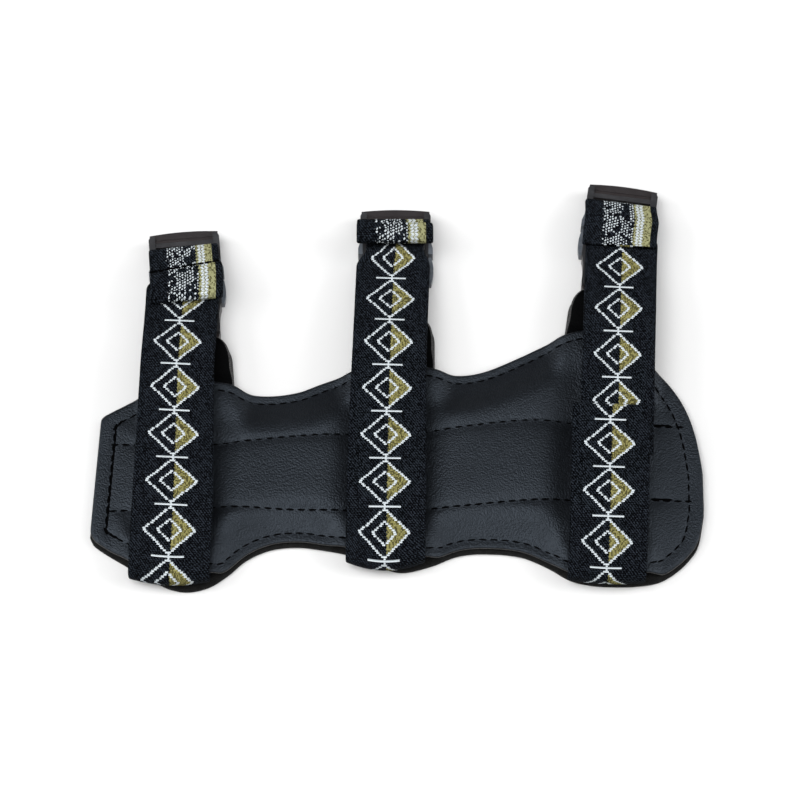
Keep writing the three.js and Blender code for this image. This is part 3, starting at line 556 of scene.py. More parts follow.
def yarn_speckle(tree, across, along, cell_across, cell_along):
    """Chance from 0 to 1 for each small cell of the weave."""
    numbers = {"X": cell_number(tree, across, cell_across), "Y": cell_number(tree, along, cell_along)}
    cell = add_node(tree, "ShaderNodeCombineXYZ", numbers).outputs[0]
    return add_node(tree, "ShaderNodeTexWhiteNoise", {"Vector": cell}).outputs["Value"]


def black_ground(tree, across, along, slant):
    """Colour and relief of the black twill, whose diagonal is broken up by uneven yarns."""
    diagonal = wave(tree, maths(tree, "ADD", across, maths(tree, "MULTIPLY", along, slant)), TWILL_PITCH)
    diagonal = maths(tree, "MULTIPLY", diagonal, 0.6)
    twill = maths(tree, "MULTIPLY_ADD", wave(tree, along, CROSS_RIB_PITCH), 0.4, diagonal)
    speckle = yarn_speckle(tree, across, along, *GROUND_CELL)
    uneven = maths(tree, "ADD", twill, maths(tree, "MULTIPLY_ADD", speckle, 1.5, -0.95))
    return mixed(tree, banded(tree, uneven, -0.4, 0.9), BLACK_SHADE, BLACK_YARN), twill


def finish_weave(tree, shader, across, along, white, gold, slant, gold_colour, gold_band, rib_height):
    """Colours and relief of one side of the weave, from where its white and gold yarns lie."""
    ground, twill = black_ground(tree, across, along, slant)
    rib = wave(tree, along, WEAVE_CELL)
    speckle = yarn_speckle(tree, across, along, *GOLD_CELL)
    gold_yarn = mixed(tree, banded(tree, speckle, *gold_band), GOLD_SHADE, gold_colour)
    # the white yarn darkens between its rows with the rib: painted shade between the yarn beads
    white_yarn = mixed(tree, banded(tree, rib, -1.0, 0.4), WHITE_PAINTED_SHADE, WHITE_YARN)
    relief = maths(tree, "MULTIPLY_ADD", rib, rib_height, maths(tree, "MULTIPLY", white, 0.7))
    relief = maths(tree, "MULTIPLY_ADD", twill, 0.25, relief)
    fill_inputs(tree, shader, {
        "Base Color": mixed(tree, white, mixed(tree, gold, ground, gold_yarn), white_yarn),
        "Normal": bump(tree, relief, distance=0.00016),
        "Roughness": 0.85,
        "Specular IOR Level": 0.025,
    })


weave_face, tree, shader = new_material("woven_elastic_face")
across, along = weave_places(tree)
wobble = maths(tree, "MULTIPLY", wave(tree, along, 2 * WEAVE_CELL), YARN_WOBBLE)
column = in_cells(tree, maths(tree, "ADD", across, wobble), WEAVE_CELL / 2)
row = in_cells(tree, along, WEAVE_CELL)
near = maths(tree, "PINGPONG", row, LOZENGE_PITCH / 2)
from_middle = maths(tree, "ABSOLUTE", maths(tree, "ADD", column, LOZENGE_SLIP))
sideways = maths(tree, "DIVIDE", from_middle, LOZENGE_HALF_WIDTH)
spread = maths(tree, "ADD", sideways, maths(tree, "DIVIDE", near, LOZENGE_HALF_LENGTH))
lozenge_side = math.hypot(LOZENGE_HALF_WIDTH, LOZENGE_HALF_LENGTH)
lozenge_depth = LOZENGE_HALF_WIDTH * LOZENGE_HALF_LENGTH / lozenge_side


def lozenge_line(size, half_width):
    """Outline of a lozenge that is drawn at a share of the full size."""
    away = maths(tree, "MULTIPLY", maths(tree, "SUBTRACT", spread, size), lozenge_depth)
    return maths(tree, "LESS_THAN", maths(tree, "ABSOLUTE", away), half_width)


outlines = maths(tree, "MAXIMUM", lozenge_line(1.0, OUTER_LINE), lozenge_line(INNER_LOZENGE, INNER_LINE))
between = maths(tree, "GREATER_THAN", near, LOZENGE_PITCH / 2 - TIE_BAR)
tie_bar = maths(tree, "MULTIPLY", between, maths(tree, "LESS_THAN", from_middle, TIE_BAR_REACH))
white = maths(tree, "MAXIMUM", outlines, tie_bar)
within = maths(tree, "LESS_THAN", spread, 1.0)
gold = maths(tree, "MULTIPLY", within, maths(tree, "GREATER_THAN", column, GOLD_FROM))
finish_weave(tree, shader, across, along, white, gold, slant=TWILL_SLANT, gold_colour=GOLD_YARN,
             gold_band=(0.25, 0.8), rib_height=0.2)

# the back shows loose floats in blocks, two white rows and a gold stripe, as shares across the strap
BACK_WOBBLE = 0.01
FLOAT_STRIPE = (0.25, 0.67)
WHITE_ROWS = ((0.708, 0.745), (0.759, 0.797))
WHITE_ROW_TIES = -0.94
GOLD_STRIPE = (0.675, 0.905)
FLOAT_PITCH = 0.9
FLOAT_LENGTH = 1.05
FLOAT_STAGGER = 0.42
FLOAT_SIZE = 0.15
FLOAT_UNEVEN = 0.8
FLOAT_DRIFT = 1.05
FLOAT_DRIFT_SCALE = 0.9
BLOCK_WIDTH = 2.82
BLOCK_LENGTH = 2.4
BLOCK_SHARE = 0.42
FLOATS_IN_BLOCK = 0.92
FLOATS_OUTSIDE = 0.3
BACK_GOLD = (0.235, 0.235, 0.125)
weave_back, tree, shader = new_material("woven_elastic_back")
across, along = weave_places(tree)
share = maths(tree, "ADD", maths(tree, "DIVIDE", across, STRAP_WIDTH), 0.5)
wobble = maths(tree, "MULTIPLY", wave(tree, along, 2 * WEAVE_CELL), BACK_WOBBLE)
wavy = maths(tree, "ADD", share, wobble)


def stripe(start, end):
    """Where the wavy share across the strap lies between two shares."""
    past_start = maths(tree, "GREATER_THAN", wavy, start)
    return maths(tree, "MULTIPLY", past_start, maths(tree, "LESS_THAN", wavy, end))


in_weave = add_node(tree, "ShaderNodeCombineXYZ", {"X": across, "Y": along}).outputs[0]
drift = maths(tree, "SUBTRACT", noise(tree, in_weave, scale=FLOAT_DRIFT_SCALE, detail=1), 0.5)
drifted = maths(tree, "MULTIPLY_ADD", drift, FLOAT_DRIFT, across)
column = cell_number(tree, drifted, FLOAT_PITCH)
staggered = maths(tree, "MULTIPLY_ADD", column, FLOAT_STAGGER * FLOAT_LENGTH, along)
staggered = maths(tree, "MULTIPLY_ADD", drift, -FLOAT_DRIFT, staggered)
chance = yarn_speckle(tree, drifted, staggered, FLOAT_PITCH, FLOAT_LENGTH)
block_chance = yarn_speckle(tree, across, along, BLOCK_WIDTH, BLOCK_LENGTH)
block = maths(tree, "GREATER_THAN", block_chance, BLOCK_SHARE)
dense = maths(tree, "MULTIPLY_ADD", block, FLOATS_IN_BLOCK - FLOATS_OUTSIDE, FLOATS_OUTSIDE)
round_across = wave(tree, maths(tree, "SUBTRACT", drifted, FLOAT_PITCH / 4), FLOAT_PITCH)
round_along = wave(tree, maths(tree, "SUBTRACT", staggered, FLOAT_LENGTH / 4), FLOAT_LENGTH)
float_round = maths(tree, "ADD", round_across, round_along)
smallest = maths(tree, "MULTIPLY_ADD", chance, FLOAT_UNEVEN, FLOAT_SIZE)
dots = maths(tree, "GREATER_THAN", float_round, smallest)
dots = maths(tree, "MULTIPLY", maths(tree, "LESS_THAN", chance, dense), dots)
floats = maths(tree, "MULTIPLY", dots, stripe(*FLOAT_STRIPE))
tied = maths(tree, "GREATER_THAN", wave(tree, along, FLOAT_LENGTH), WHITE_ROW_TIES)
rows = maths(tree, "MULTIPLY", tied, maths(tree, "MAXIMUM", *(stripe(*row) for row in WHITE_ROWS)))
white = maths(tree, "MAXIMUM", floats, rows)
past_floats = maths(tree, "GREATER_THAN", wavy, GOLD_STRIPE[0])
gold = maths(tree, "MULTIPLY", past_floats, maths(tree, "LESS_THAN", share, GOLD_STRIPE[1]))
finish_weave(tree, shader, across, along, white, gold, slant=-TWILL_SLANT, gold_colour=BACK_GOLD,
             gold_band=(0.1, 0.6), rib_height=0.25)

for strap in STRAPS:
    path_at, buckle_start = strap_path(strap)
    line = bent_line(strap_rows(strap, buckle_start))
    tail_start = line[0][np.argmax(line[1])]

    def strap_bow(reach, v, share, strap=strap, tail_start=tail_start):
        """The fold bows outwards in the middle, and the tail's end lies askew."""
        fold = strap["bow"] * (1 - smooth(v / FOLD_BOW_REACH)) * (share**2 - 0.5)
        return fold - strap["tail_skew"] * share * smooth((reach - tail_start) / strap["tail"])

    def strap_lift(reach, v, share, strap=strap, tail_start=tail_start):
        """The tail lies closer to the ladder bar on one side where it leaves the slot."""
        past = reach - tail_start
        into_slot = smooth((past + TAIL_SAG_RUN) / TAIL_SAG_RUN)
        return -strap["tail_sag"] * share * into_slot * (1 - smooth(past / TAIL_SAG_RUN))

    strap.update(path=path_at, line=line, shift=strap_bow)
    name = "woven_strap_" + strap["name"]
    band = band_from(name, line, STRAP_THICKNESS, path_at, STRAP_LINES, (weave_face, weave_back), back_sides,
                     strap_bow, strap_lift, strap["phase"])
    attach(band, "root")
    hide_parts("strap_" + strap["name"])

# Tabs: short vinyl loops that hold the sockets. Each is folded round the socket's bar, with both ends
# sewn between the face and the backing; the cut edges are lighter than the face of the vinyl. The tabs'
# vinyl is coloured darker than the face: painted shade for the strap and buckle over them.
TAB_THICKNESS = 1.2
TAB_WIDTH = 26.5
TAB_LOOP_WIDTH = 15.0
TAB_SEWN_LENGTH = 6.5
TAB_LOOP = 2.75
SOCKET_BAR_PLACE = 1.25
TAB_TURN = TAB_REACH + SOCKET_BAR_PLACE + TAB_LOOP
TAB_BEND = 6.0
TAB_EXIT = 1.5
TAB_SHOULDER = 11.0
SHOULDER_START = 6.5
SHOULDER_END = 14.6
UPPER_LAYER_INSET = 1.2
UPPER_INSET_START = -2.0
UPPER_INSET_RUN = 6.0
TAB_LINES = 13
BUCKLE_MIDDLE = 4.1
VINYL_DARK = (0.0022, 0.0025, 0.0032)
VINYL_LIGHT = (0.0038, 0.0043, 0.0053)
VINYL_SHINE = (0.7, 0.83, 1.0, 1)
# painted shade: the tabs' vinyl is made darker than the face's, standing in for the shadow under strap and
# buckle
TAB_PAINTED_SHADE = (0.0006, 0.0007, 0.0009, 1)
CUT_EDGE_DARK = (0.012, 0.012, 0.0125)
CUT_EDGE_LIGHT = (0.055, 0.054, 0.054)

vinyl, tree, shader = new_material("pebbled_vinyl")
place = object_place(tree)
pebbles = {"Vector": place, "Scale": 1750.0, "Smoothness": 0.4}
hollows = add_node(tree, "ShaderNodeTexVoronoi", pebbles, feature="SMOOTH_F1").outputs["Distance"]
creases = noise(tree, place, scale=300, detail=3, roughness=0.5)
relief = maths(tree, "MULTIPLY_ADD", creases, 0.08, maths(tree, "SUBTRACT", 1.0, hollows))
tone = banded(tree, noise(tree, place, scale=60, detail=2), 0.3, 0.7)
fill_inputs(tree, shader, {
    "Base Color": mixed(tree, tone, VINYL_DARK, VINYL_LIGHT),
    "Normal": bump(tree, relief, distance=0.00015),
    "Roughness": maths(tree, "MULTIPLY_ADD", creases, 0.08, 0.39),
    "Specular IOR Level": 0.3,
    "Specular Tint": VINYL_SHINE,
})

# the same black vinyl as the face, coloured darker as painted shade
tab_vinyl_painted_shade, tree, shader = new_material("tab_vinyl_painted_shade")
grain = noise(tree, object_place(tree), scale=1200, detail=2)
fill_inputs(tree, shader, {
    "Base Color": TAB_PAINTED_SHADE,
    "Normal": bump(tree, grain, distance=0.0001),
    "Roughness": 0.6,
    "Specular IOR Level": 0.02,
})

cut_edge, tree, shader = new_material("vinyl_cut_edge")
weave_ends = noise(tree, object_place(tree), scale=1900, detail=3, roughness=0.65)
fill_inputs(tree, shader, {
    "Base Color": mixed(tree, banded(tree, weave_ends, 0.35, 0.7), CUT_EDGE_DARK, CUT_EDGE_LIGHT),
    "Normal": bump(tree, weave_ends, distance=0.0003),
    "Roughness": 0.85,
})

for strap in STRAPS:
    heading = turned(strap["turn"])
    base = np.array(strap["base"])

    def tab_path(v, base=base, heading=heading):
        return base + np.expand_dims(v, -1) * heading, np.broadcast_to(heading, (*np.shape(v), 2))

    lower = BACKING_THICKNESS + LAYER_GAP + TAB_THICKNESS / 2
    upper = lower + TAB_THICKNESS + LAYER_GAP
    bend = TAB_LOOP - BEND_EASE
    rows = [(v, z, radius, TAB_WIDTH, 0) for v, z, radius in (
        (-TAB_SEWN_LENGTH, lower, 0),
        (TAB_EXIT, lower, TAB_BEND),
        (TAB_SHOULDER, BUCKLE_MIDDLE - TAB_LOOP, TAB_BEND),
        (TAB_TURN, BUCKLE_MIDDLE - TAB_LOOP, bend),
        (TAB_TURN, BUCKLE_MIDDLE + TAB_LOOP, bend),
        (TAB_SHOULDER, BUCKLE_MIDDLE + TAB_LOOP, TAB_BEND),
        (TAB_EXIT, upper, TAB_BEND),
        (-TAB_SEWN_LENGTH, upper, 0),
    )]
    reach, v, z, width, slip = bent_line(rows)
    past = np.clip((v - SHOULDER_START) / (SHOULDER_END - SHOULDER_START), 0, 1)
    width = TAB_WIDTH - (TAB_WIDTH - TAB_LOOP_WIDTH) * (1 - np.sqrt(1 - past**2))
    upper_layer = (reach > reach[-1] / 2) * smooth((v - UPPER_INSET_START) / UPPER_INSET_RUN)
    line = reach, v, z, width - UPPER_LAYER_INSET * upper_layer, slip
    tab = band_from("vinyl_tab_" + strap["name"], line, TAB_THICKNESS, tab_path, TAB_LINES,
                    (tab_vinyl_painted_shade, cut_edge), selvedge_sides)
    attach(tab, "root")
    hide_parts("tab_" + strap["name"])

# Face: black pebbled vinyl over thin foam, sewn to the backing round its rim and quilted along two lines
# into three padded channels. Its lower edge lifts over the straps' sewn ends and its upper one over the tabs.
VINYL_THICKNESS = 1.3
FIT_GAP = 0.3
FACE_CROWN = 7.0
SEAM_MARGIN = 3.1
END_SEAM_MARGIN = 4.9
END_SEAM_START = 78.0
END_SEAM_RUN = 14.0
SEAM_RISE_WIDTH = 13.0
SEAM_GROOVE = 0.22
SEAM_GROOVE_WIDTH = 0.8
SEAM_FOOT = 1.0
QUILT_DIP = 0.3
QUILT_DIP_WIDTH = 8.5
QUILT_GROOVE = 0.28
QUILT_GROOVE_WIDTH = 0.9
PUCKER = 0.07
PUCKER_WIDTH = 2.4
END_CROWN = 4.4
END_CROWN_START = 69.0
END_CROWN_RUN = 18.0
VALLEY_CROWN = 4.9
VALLEY_HALF_WIDTH = 9.0
VALLEY_FADE = 13.0
FACE_INSET_LOW = 1.0
FACE_INSET_HIGH = 0.4
FACE_EDGE_ROOM = 1.6
FACE_EDGE_FADE = 8.0
LEAST_FACE = 0.9
LIFT_DEPTH = 8.0
LIFT_LOSS = 0.85
LIFT_FADE = 9.0
LIFT_SIDE_FADE = 6.0
LIFT_SIDE_ROOM = 0.6
LIFT_EASE = 0.15
STRAP_LIFT = STRAP_THICKNESS + LAYER_GAP + LIFT_EASE
TAB_LIFT = 2 * (TAB_THICKNESS + LAYER_GAP) + LIFT_EASE
STITCH_PITCH = 3.7
FACE_EDGE_STEPS = 400
FACE_COLUMNS = 150
RIM_ROWS = 3
CHANNEL_ROWS = 15
WIDEST_MARGIN = 0.25
LOWER_LINE_SHARES = (0.1, 0.4)
UPPER_LINE_SHARES = (0.6, 0.9)
QUILT_LOWER, QUILT_UPPER = 1, 2
# place along the pad, lower quilting line, upper quilting line
QUILT_LINES = np.array([
    (-102, -45, -21),
    (-60, -44, -21.3),
    (-30, -45, -18.7),
    (11, -44.6, -17),
    (42, -42, -13.5),
    (70, -41.3, -14.6),
    (102, -41.3, -14.8),
])
# middle of a dent or swell along and across the pad, its reach both ways and its height
FACE_WAVES = [
    (18, 0, 10, 8, -1.5),
    (19, -13, 9, 6, 0.5),
    (-52, -9, 9, 9, 0.6),
    (-52, -52, 10, 9, 0.5),
    (48, -30, 12, 18, 0.5),
    (-38, -30, 16, 14, -0.5),
]


def side_fade(x, middle, half_width, fade):
    return 1 - smooth((np.abs(x - middle) - half_width) / fade)


def seam_margin(x):
    """Distance of the rim seam from the face's edge, wider round both ends."""
    at_end = smooth((np.abs(x) - END_SEAM_START) / END_SEAM_RUN)
    return SEAM_MARGIN + (END_SEAM_MARGIN - SEAM_MARGIN) * at_end


def over_fold(x, strap, room, fade):
    """1 over a strap's fold, falling away beyond both of its sides."""
    return side_fade(x, strap["foot"][0] + strap["slips"][0], strap["widths"][0] / 2 + room, fade)


def face_low(x):
    """The face's edge on the strap side, drawn back to each strap's fold."""
    plain = on_curve(PAD_SECTIONS, LOW, x) + FACE_INSET_LOW
    edge = plain
    for strap in STRAPS:
        share = over_fold(x, strap, FACE_EDGE_ROOM, FACE_EDGE_FADE)
        edge = edge + np.maximum(0, strap["foot"][1] - plain) * share
    return edge


def face_high(x):
    return on_curve(PAD_SECTIONS, HIGH, x) - FACE_INSET_HIGH


def rim_lift(x, y):
    """Lift of the face over the straps' ends along one edge and over the tabs along the other."""
    from_low = 1 - smooth((y - face_low(x) - LIFT_DEPTH) / LIFT_FADE)
    from_high = 1 - smooth((face_high(x) - y - LIFT_DEPTH) / LIFT_FADE)
    lift = 0
    for strap in STRAPS:
        over_strap = over_fold(x, strap, LIFT_SIDE_ROOM, LIFT_SIDE_FADE)
        over_tab = side_fade(x, strap["base"][0], TAB_WIDTH / 2 + LIFT_SIDE_ROOM, LIFT_SIDE_FADE)
        over_both = np.maximum(STRAP_LIFT * from_low * over_strap, TAB_LIFT * from_high * over_tab)
        lift = np.maximum(lift, over_both)
    return lift


face_x = places_along(FACE_EDGE_STEPS)
face_edge = np.concatenate([
    np.stack([face_x, face_low(face_x)], 1),
    np.stack([face_x + on_curve(PAD_SECTIONS, LEAN, face_x), face_high(face_x)], 1)[::-1],
])


def near_to(distance, width):
    """1 on a line, falling away on both sides of it over a width."""
    return np.exp(-((distance / width) ** 2))


def face_top(x, y):
    """Upper skin of the face: a thin rim, a groove and a rise at the seam, a dip along each quilting line."""
    inside = edge_distance(np.stack([np.ravel(x), np.ravel(y)], 1), face_edge).reshape(np.shape(x))
    from_seam = inside - seam_margin(x)
    rise = smooth((from_seam + SEAM_FOOT) / (SEAM_RISE_WIDTH + SEAM_FOOT))
    to_line = np.minimum(
        np.abs(y - on_curve(QUILT_LINES, QUILT_LOWER, x)),
        np.abs(y - on_curve(QUILT_LINES, QUILT_UPPER, x)),
    )
    dip = QUILT_DIP * (1 - np.clip(to_line / QUILT_DIP_WIDTH, 0, 1)) ** 2
    dip = dip + QUILT_GROOVE * near_to(to_line, QUILT_GROOVE_WIDTH)
    pucker = PUCKER * np.cos(2 * np.pi * x / STITCH_PITCH) * near_to(to_line, PUCKER_WIDTH)
    waves = sum(h * near_to(x - a, c) * near_to(y - b, d) for a, b, c, d, h in FACE_WAVES)
    rim = BACKING_THICKNESS + FIT_GAP + VINYL_THICKNESS
    crown = FACE_CROWN + (END_CROWN - FACE_CROWN) * smooth((np.abs(x) - END_CROWN_START) / END_CROWN_RUN)
    for strap in STRAPS:
        foot, base = strap["foot"], strap["base"]
        middle = foot[0] + (base[0] - foot[0]) * (y - foot[1]) / (base[1] - foot[1])
        crown = crown + (VALLEY_CROWN - crown) * side_fade(x, middle, VALLEY_HALF_WIDTH, VALLEY_FADE)
    groove = SEAM_GROOVE * near_to(from_seam, SEAM_GROOVE_WIDTH)
    lift = rim_lift(x, y) * (1 - LIFT_LOSS * rise)
    return rim + (crown - rim - dip + waves + pucker) * rise + lift - groove


x = places_along(FACE_COLUMNS)
low = face_low(x)
high = face_high(x)
widest = (high - low) * WIDEST_MARGIN
seam_low = low + np.minimum(seam_margin(x) * np.hypot(1, np.gradient(low, x)), widest)
seam_high = high - np.minimum(seam_margin(x) * np.hypot(1, np.gradient(high, x)), widest)


def quilt_row(column, limits):
    """Row of the grid along a quilting line, kept between two shares of the width inside the seams."""
    share = (on_curve(QUILT_LINES, column, x) - seam_low) / (seam_high - seam_low)
    return seam_low + (seam_high - seam_low) * np.clip(share, *limits)


line_low = quilt_row(QUILT_LOWER, LOWER_LINE_SHARES)
line_high = quilt_row(QUILT_UPPER, UPPER_LINE_SHARES)
marks = [low, seam_low, line_low, line_high, seam_high, high]
counts = [RIM_ROWS, CHANNEL_ROWS, CHANNEL_ROWS, CHANNEL_ROWS, RIM_ROWS]
heights = [a[:, None] + (b - a)[:, None] * np.linspace(0, 1, n, endpoint=False)
           for a, b, n in zip(marks, marks[1:], counts)]
heights = np.concatenate([*heights, high[:, None]], 1)
grid = pad_grid(x, heights)
gx, gy = grid[..., 0], grid[..., 1]
top = face_top(gx, gy)
under = np.minimum(BACKING_THICKNESS + FIT_GAP + rim_lift(gx, gy), top - LEAST_FACE)
SIM_SCALE = 10.0
SIM_FRAMES = 20
SIM_QUALITY = 5
SKIN_MASS = 0.3
SKIN_STIFFNESS = 15
SKIN_BENDING = 4
PAD_PRESSURE = 2.0
PAD_GROWTH = -0.002
SEAM_HOLD = 0.6
SWELL_LIMIT = 0.25
SWELL_EASINGS = 8


def swollen(places, height, held):
    """Change of a skin's height when pressure from below stretches it between the points held."""
    points = np.dstack([places, height]).reshape(-1, 3) * MM * SIM_SCALE
    index = np.arange(height.size).reshape(height.shape)
    mesh = bpy.data.meshes.new("skin")
    mesh.from_pydata(points.tolist(), [], grid_faces(index).tolist())
    skin = new_object("skin", mesh)
    pins = skin.vertex_groups.new(name="pins")
    pins.add([int(k) for k in index[held]], 1.0, "REPLACE")
    cloth = skin.modifiers.new("cloth", "CLOTH")
    cloth.point_cache.frame_start = 1
    cloth.point_cache.frame_end = SIM_FRAMES
    settings = cloth.settings
    settings.quality = SIM_QUALITY
    settings.vertex_group_mass = "pins"
    settings.mass = SKIN_MASS
    settings.tension_stiffness = settings.compression_stiffness = SKIN_STIFFNESS
    settings.bending_stiffness = SKIN_BENDING
    settings.use_pressure = True
    settings.uniform_pressure_force = PAD_PRESSURE
    settings.shrink_min = PAD_GROWTH
    settings.effector_weights.gravity = 0
    for step in range(1, SIM_FRAMES + 1):
        bpy.context.scene.frame_set(step)
    shaped = skin.evaluated_get(bpy.context.evaluated_depsgraph_get())
    moved = np.zeros(len(points) * 3)
    shaped.data.vertices.foreach_get("co", moved)
    bpy.context.scene.frame_set(1)
    change = (moved.reshape(-1, 3) - points)[:, 2].reshape(height.shape) / MM / SIM_SCALE
    bpy.data.objects.remove(skin)
    change = SWELL_LIMIT * np.tanh(change / SWELL_LIMIT)
    for _ in range(SWELL_EASINGS):
        around = np.pad(change, 1, mode="edge")
        around = around[:-2, 1:-1] + around[2:, 1:-1] + around[1:-1, :-2] + around[1:-1, 2:]
        change = np.where(held, change, (change + around) / 5)
    return change


seam_rows = np.cumsum(counts)[:-1]
from_edge = edge_distance(grid.reshape(-1, 2), face_edge).reshape(top.shape)
held = from_edge <= seam_margin(gx) + SEAM_HOLD
held[:, seam_rows] = True
top = top + swollen(grid, top, held)
face = panel_from("padded_face", grid, top, under)
face.data.materials.append(vinyl)
face.data.materials.append(cut_edge)
rim_faces = len(border_of(grid.shape))
slots = np.zeros(len(face.data.polygons), int)
slots[-rim_faces:] = 1
face.data.polygons.foreach_set("material_index", slots)
padding = face.modifiers.new("soft", "SUBSURF")
padding.levels = padding.render_levels = 1
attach(face, "root")
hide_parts("face_panel")

# Stitching: black bonded thread, in one seam round the face's rim, two quilting lines along the pad that are
# each tacked near the elbow end, a back-tack at the wrist end and the hem of the wrist strap's tail. Each
# stitch sinks in at both ends.
STITCH_LENGTH = 2.95
QUILT_THREAD_WIDTH = 0.82
RIM_THREAD_WIDTH = 0.66
THREAD_HEIGHT = 0.5
THREAD_SEAT = 0.05
STITCH_TILT = 0.06
STITCH_SEED = 4
SLOPE_STEP = 0.05
SEAM_SLACK = 0.12
QUILT_ENDS = (-94.5, 97.0)
QUILT_STEPS = 260
QUILT_PAST_SEAM = 1.0
QUILT_TACK = (85.6, 90.4)
QUILT_TACK_STEPS = 12
QUILT_TACK_OFFSET = (0.0, 0.45)
QUILT_TACK_PITCH = 1.6
BACK_TACK_END = -93.5
BACK_TACK_OFFSET = (0.45, 0.0)
BACK_TACK_PITCH = 2.1
HEM_STITCH_INSET = 1.0
HEM_STITCH_FROM_CREASE = 1.75
HEM_STITCH_PITCH = 2.5
HEM_STEPS = 40
THREAD_DARK = (0.0002, 0.0002, 0.0003)
THREAD_LIGHT = (0.0008, 0.0008, 0.001)

thread, tree, shader = new_material("black_thread")
twist = noise(tree, object_place(tree), scale=2200, detail=2)
fill_inputs(tree, shader, {
    "Base Color": mixed(tree, banded(tree, twist, 0.3, 0.7), THREAD_DARK, THREAD_LIGHT),
    "Normal": bump(tree, twist, distance=0.0002),
    "Roughness": 0.9,
    "Specular IOR Level": 0.02,
})

stitching = bpy.data.node_groups.new("stitching", "GeometryNodeTree")
stitching.interface.new_socket("Geometry", in_out="INPUT", socket_type="NodeSocketGeometry")
stitch_inputs = {}
for size in ("Pitch", "Length", "Width", "Height", "Tilt"):
    socket = stitching.interface.new_socket(size, in_out="INPUT", socket_type="NodeSocketFloat")
    stitch_inputs[size] = socket.identifier
stitching.interface.new_socket("Geometry", in_out="OUTPUT", socket_type="NodeSocketGeometry")
source = stitching.nodes.new("NodeGroupInput").outputs
RANDOM_LEAST, RANDOM_MOST, RANDOM_FLOAT = 2, 3, 1


def sewing_step(kind, inputs=(), result=0, **settings):
    return add_node(stitching, kind, inputs, **settings).outputs[result]


line = sewing_step("GeometryNodeMeshToCurve", {"Mesh": source["Geometry"]})
spaced = sewing_step("GeometryNodeResampleCurve", {"Curve": line, "Length": source["Pitch"]}, mode="LENGTH")
course = sewing_step("GeometryNodeInputTangent")
above = sewing_step("GeometryNodeInputNamedAttribute", {"Name": "above"}, data_type="FLOAT_VECTOR")
along = sewing_step("FunctionNodeAlignRotationToVector", {"Vector": course}, axis="X")
seated = sewing_step("FunctionNodeAlignRotationToVector", {"Rotation": along, "Vector": above},
                     axis="Z", pivot_axis="X")
limits = {RANDOM_LEAST: maths(stitching, "MULTIPLY", source["Tilt"], -1.0), RANDOM_MOST: source["Tilt"],
          "Seed": STITCH_SEED}
chance = sewing_step("FunctionNodeRandomValue", limits, RANDOM_FLOAT, data_type="FLOAT")
swing = sewing_step("ShaderNodeCombineXYZ", {"Z": chance})
swung = sewing_step("FunctionNodeRotateRotation", {"Rotation": seated, "Rotate By": swing},
                    rotation_space="LOCAL")
bead = sewing_step("GeometryNodeMeshUVSphere", {"Segments": 8, "Rings": 6, "Radius": 0.5})
extent = sewing_step("ShaderNodeCombineXYZ", {
    "X": source["Length"], "Y": source["Width"], "Z": source["Height"]})
stitch = sewing_step("GeometryNodeTransform", {"Geometry": bead, "Scale": extent})
rounded = sewing_step("GeometryNodeSetShadeSmooth", {"Geometry": stitch})
sewn = sewing_step("GeometryNodeInstanceOnPoints", {
    "Points": spaced, "Instance": rounded, "Rotation": swung})
real = sewing_step("GeometryNodeRealizeInstances", {"Geometry": sewn})
dressed = sewing_step("GeometryNodeSetMaterial", {"Geometry": real, "Material": thread})
stitching.links.new(dressed, stitching.nodes.new("NodeGroupOutput").inputs[0])


def on_face(points):
    """Places on the face at a line of points, and the way up from each."""
    x, y = points[:, 0], points[:, 1]
    above = np.stack([
        (face_top(x - SLOPE_STEP, y) - face_top(x + SLOPE_STEP, y)) / (2 * SLOPE_STEP),
        (face_top(x, y - SLOPE_STEP) - face_top(x, y + SLOPE_STEP)) / (2 * SLOPE_STEP),
        np.ones(len(x)),
    ], 1)
    return np.column_stack([points, face_top(x, y) + THREAD_SEAT]), above


def stitched(name, places, above, closed=False, pitch=STITCH_PITCH, width=QUILT_THREAD_WIDTH):
    """Row of stitches along a line of places, each seated the way that is up there."""
    row = piece_from(name + "_line", places, [])
    mesh = row.data
    first = np.arange(len(places) if closed else len(places) - 1)
    mesh.edges.add(len(first))
    mesh.edges.foreach_set("vertices", np.stack([first, (first + 1) % len(places)], 1).reshape(-1))
    mesh.attributes.new("above", "FLOAT_VECTOR", "POINT").data.foreach_set("vector", above.reshape(-1))
    sewing = row.modifiers.new("sewing", "NODES")
    sewing.node_group = stitching
    sizes_mm = {"Pitch": pitch, "Length": STITCH_LENGTH, "Width": width, "Height": THREAD_HEIGHT}
    for size, value in sizes_mm.items():
        sewing[stitch_inputs[size]] = value * MM
    sewing[stitch_inputs["Tilt"]] = STITCH_TILT
    shaped = row.evaluated_get(bpy.context.evaluated_depsgraph_get())
    piece = new_object(name, bpy.data.meshes.new_from_object(shaped))
    bpy.data.objects.remove(row)
    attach(piece, "root")


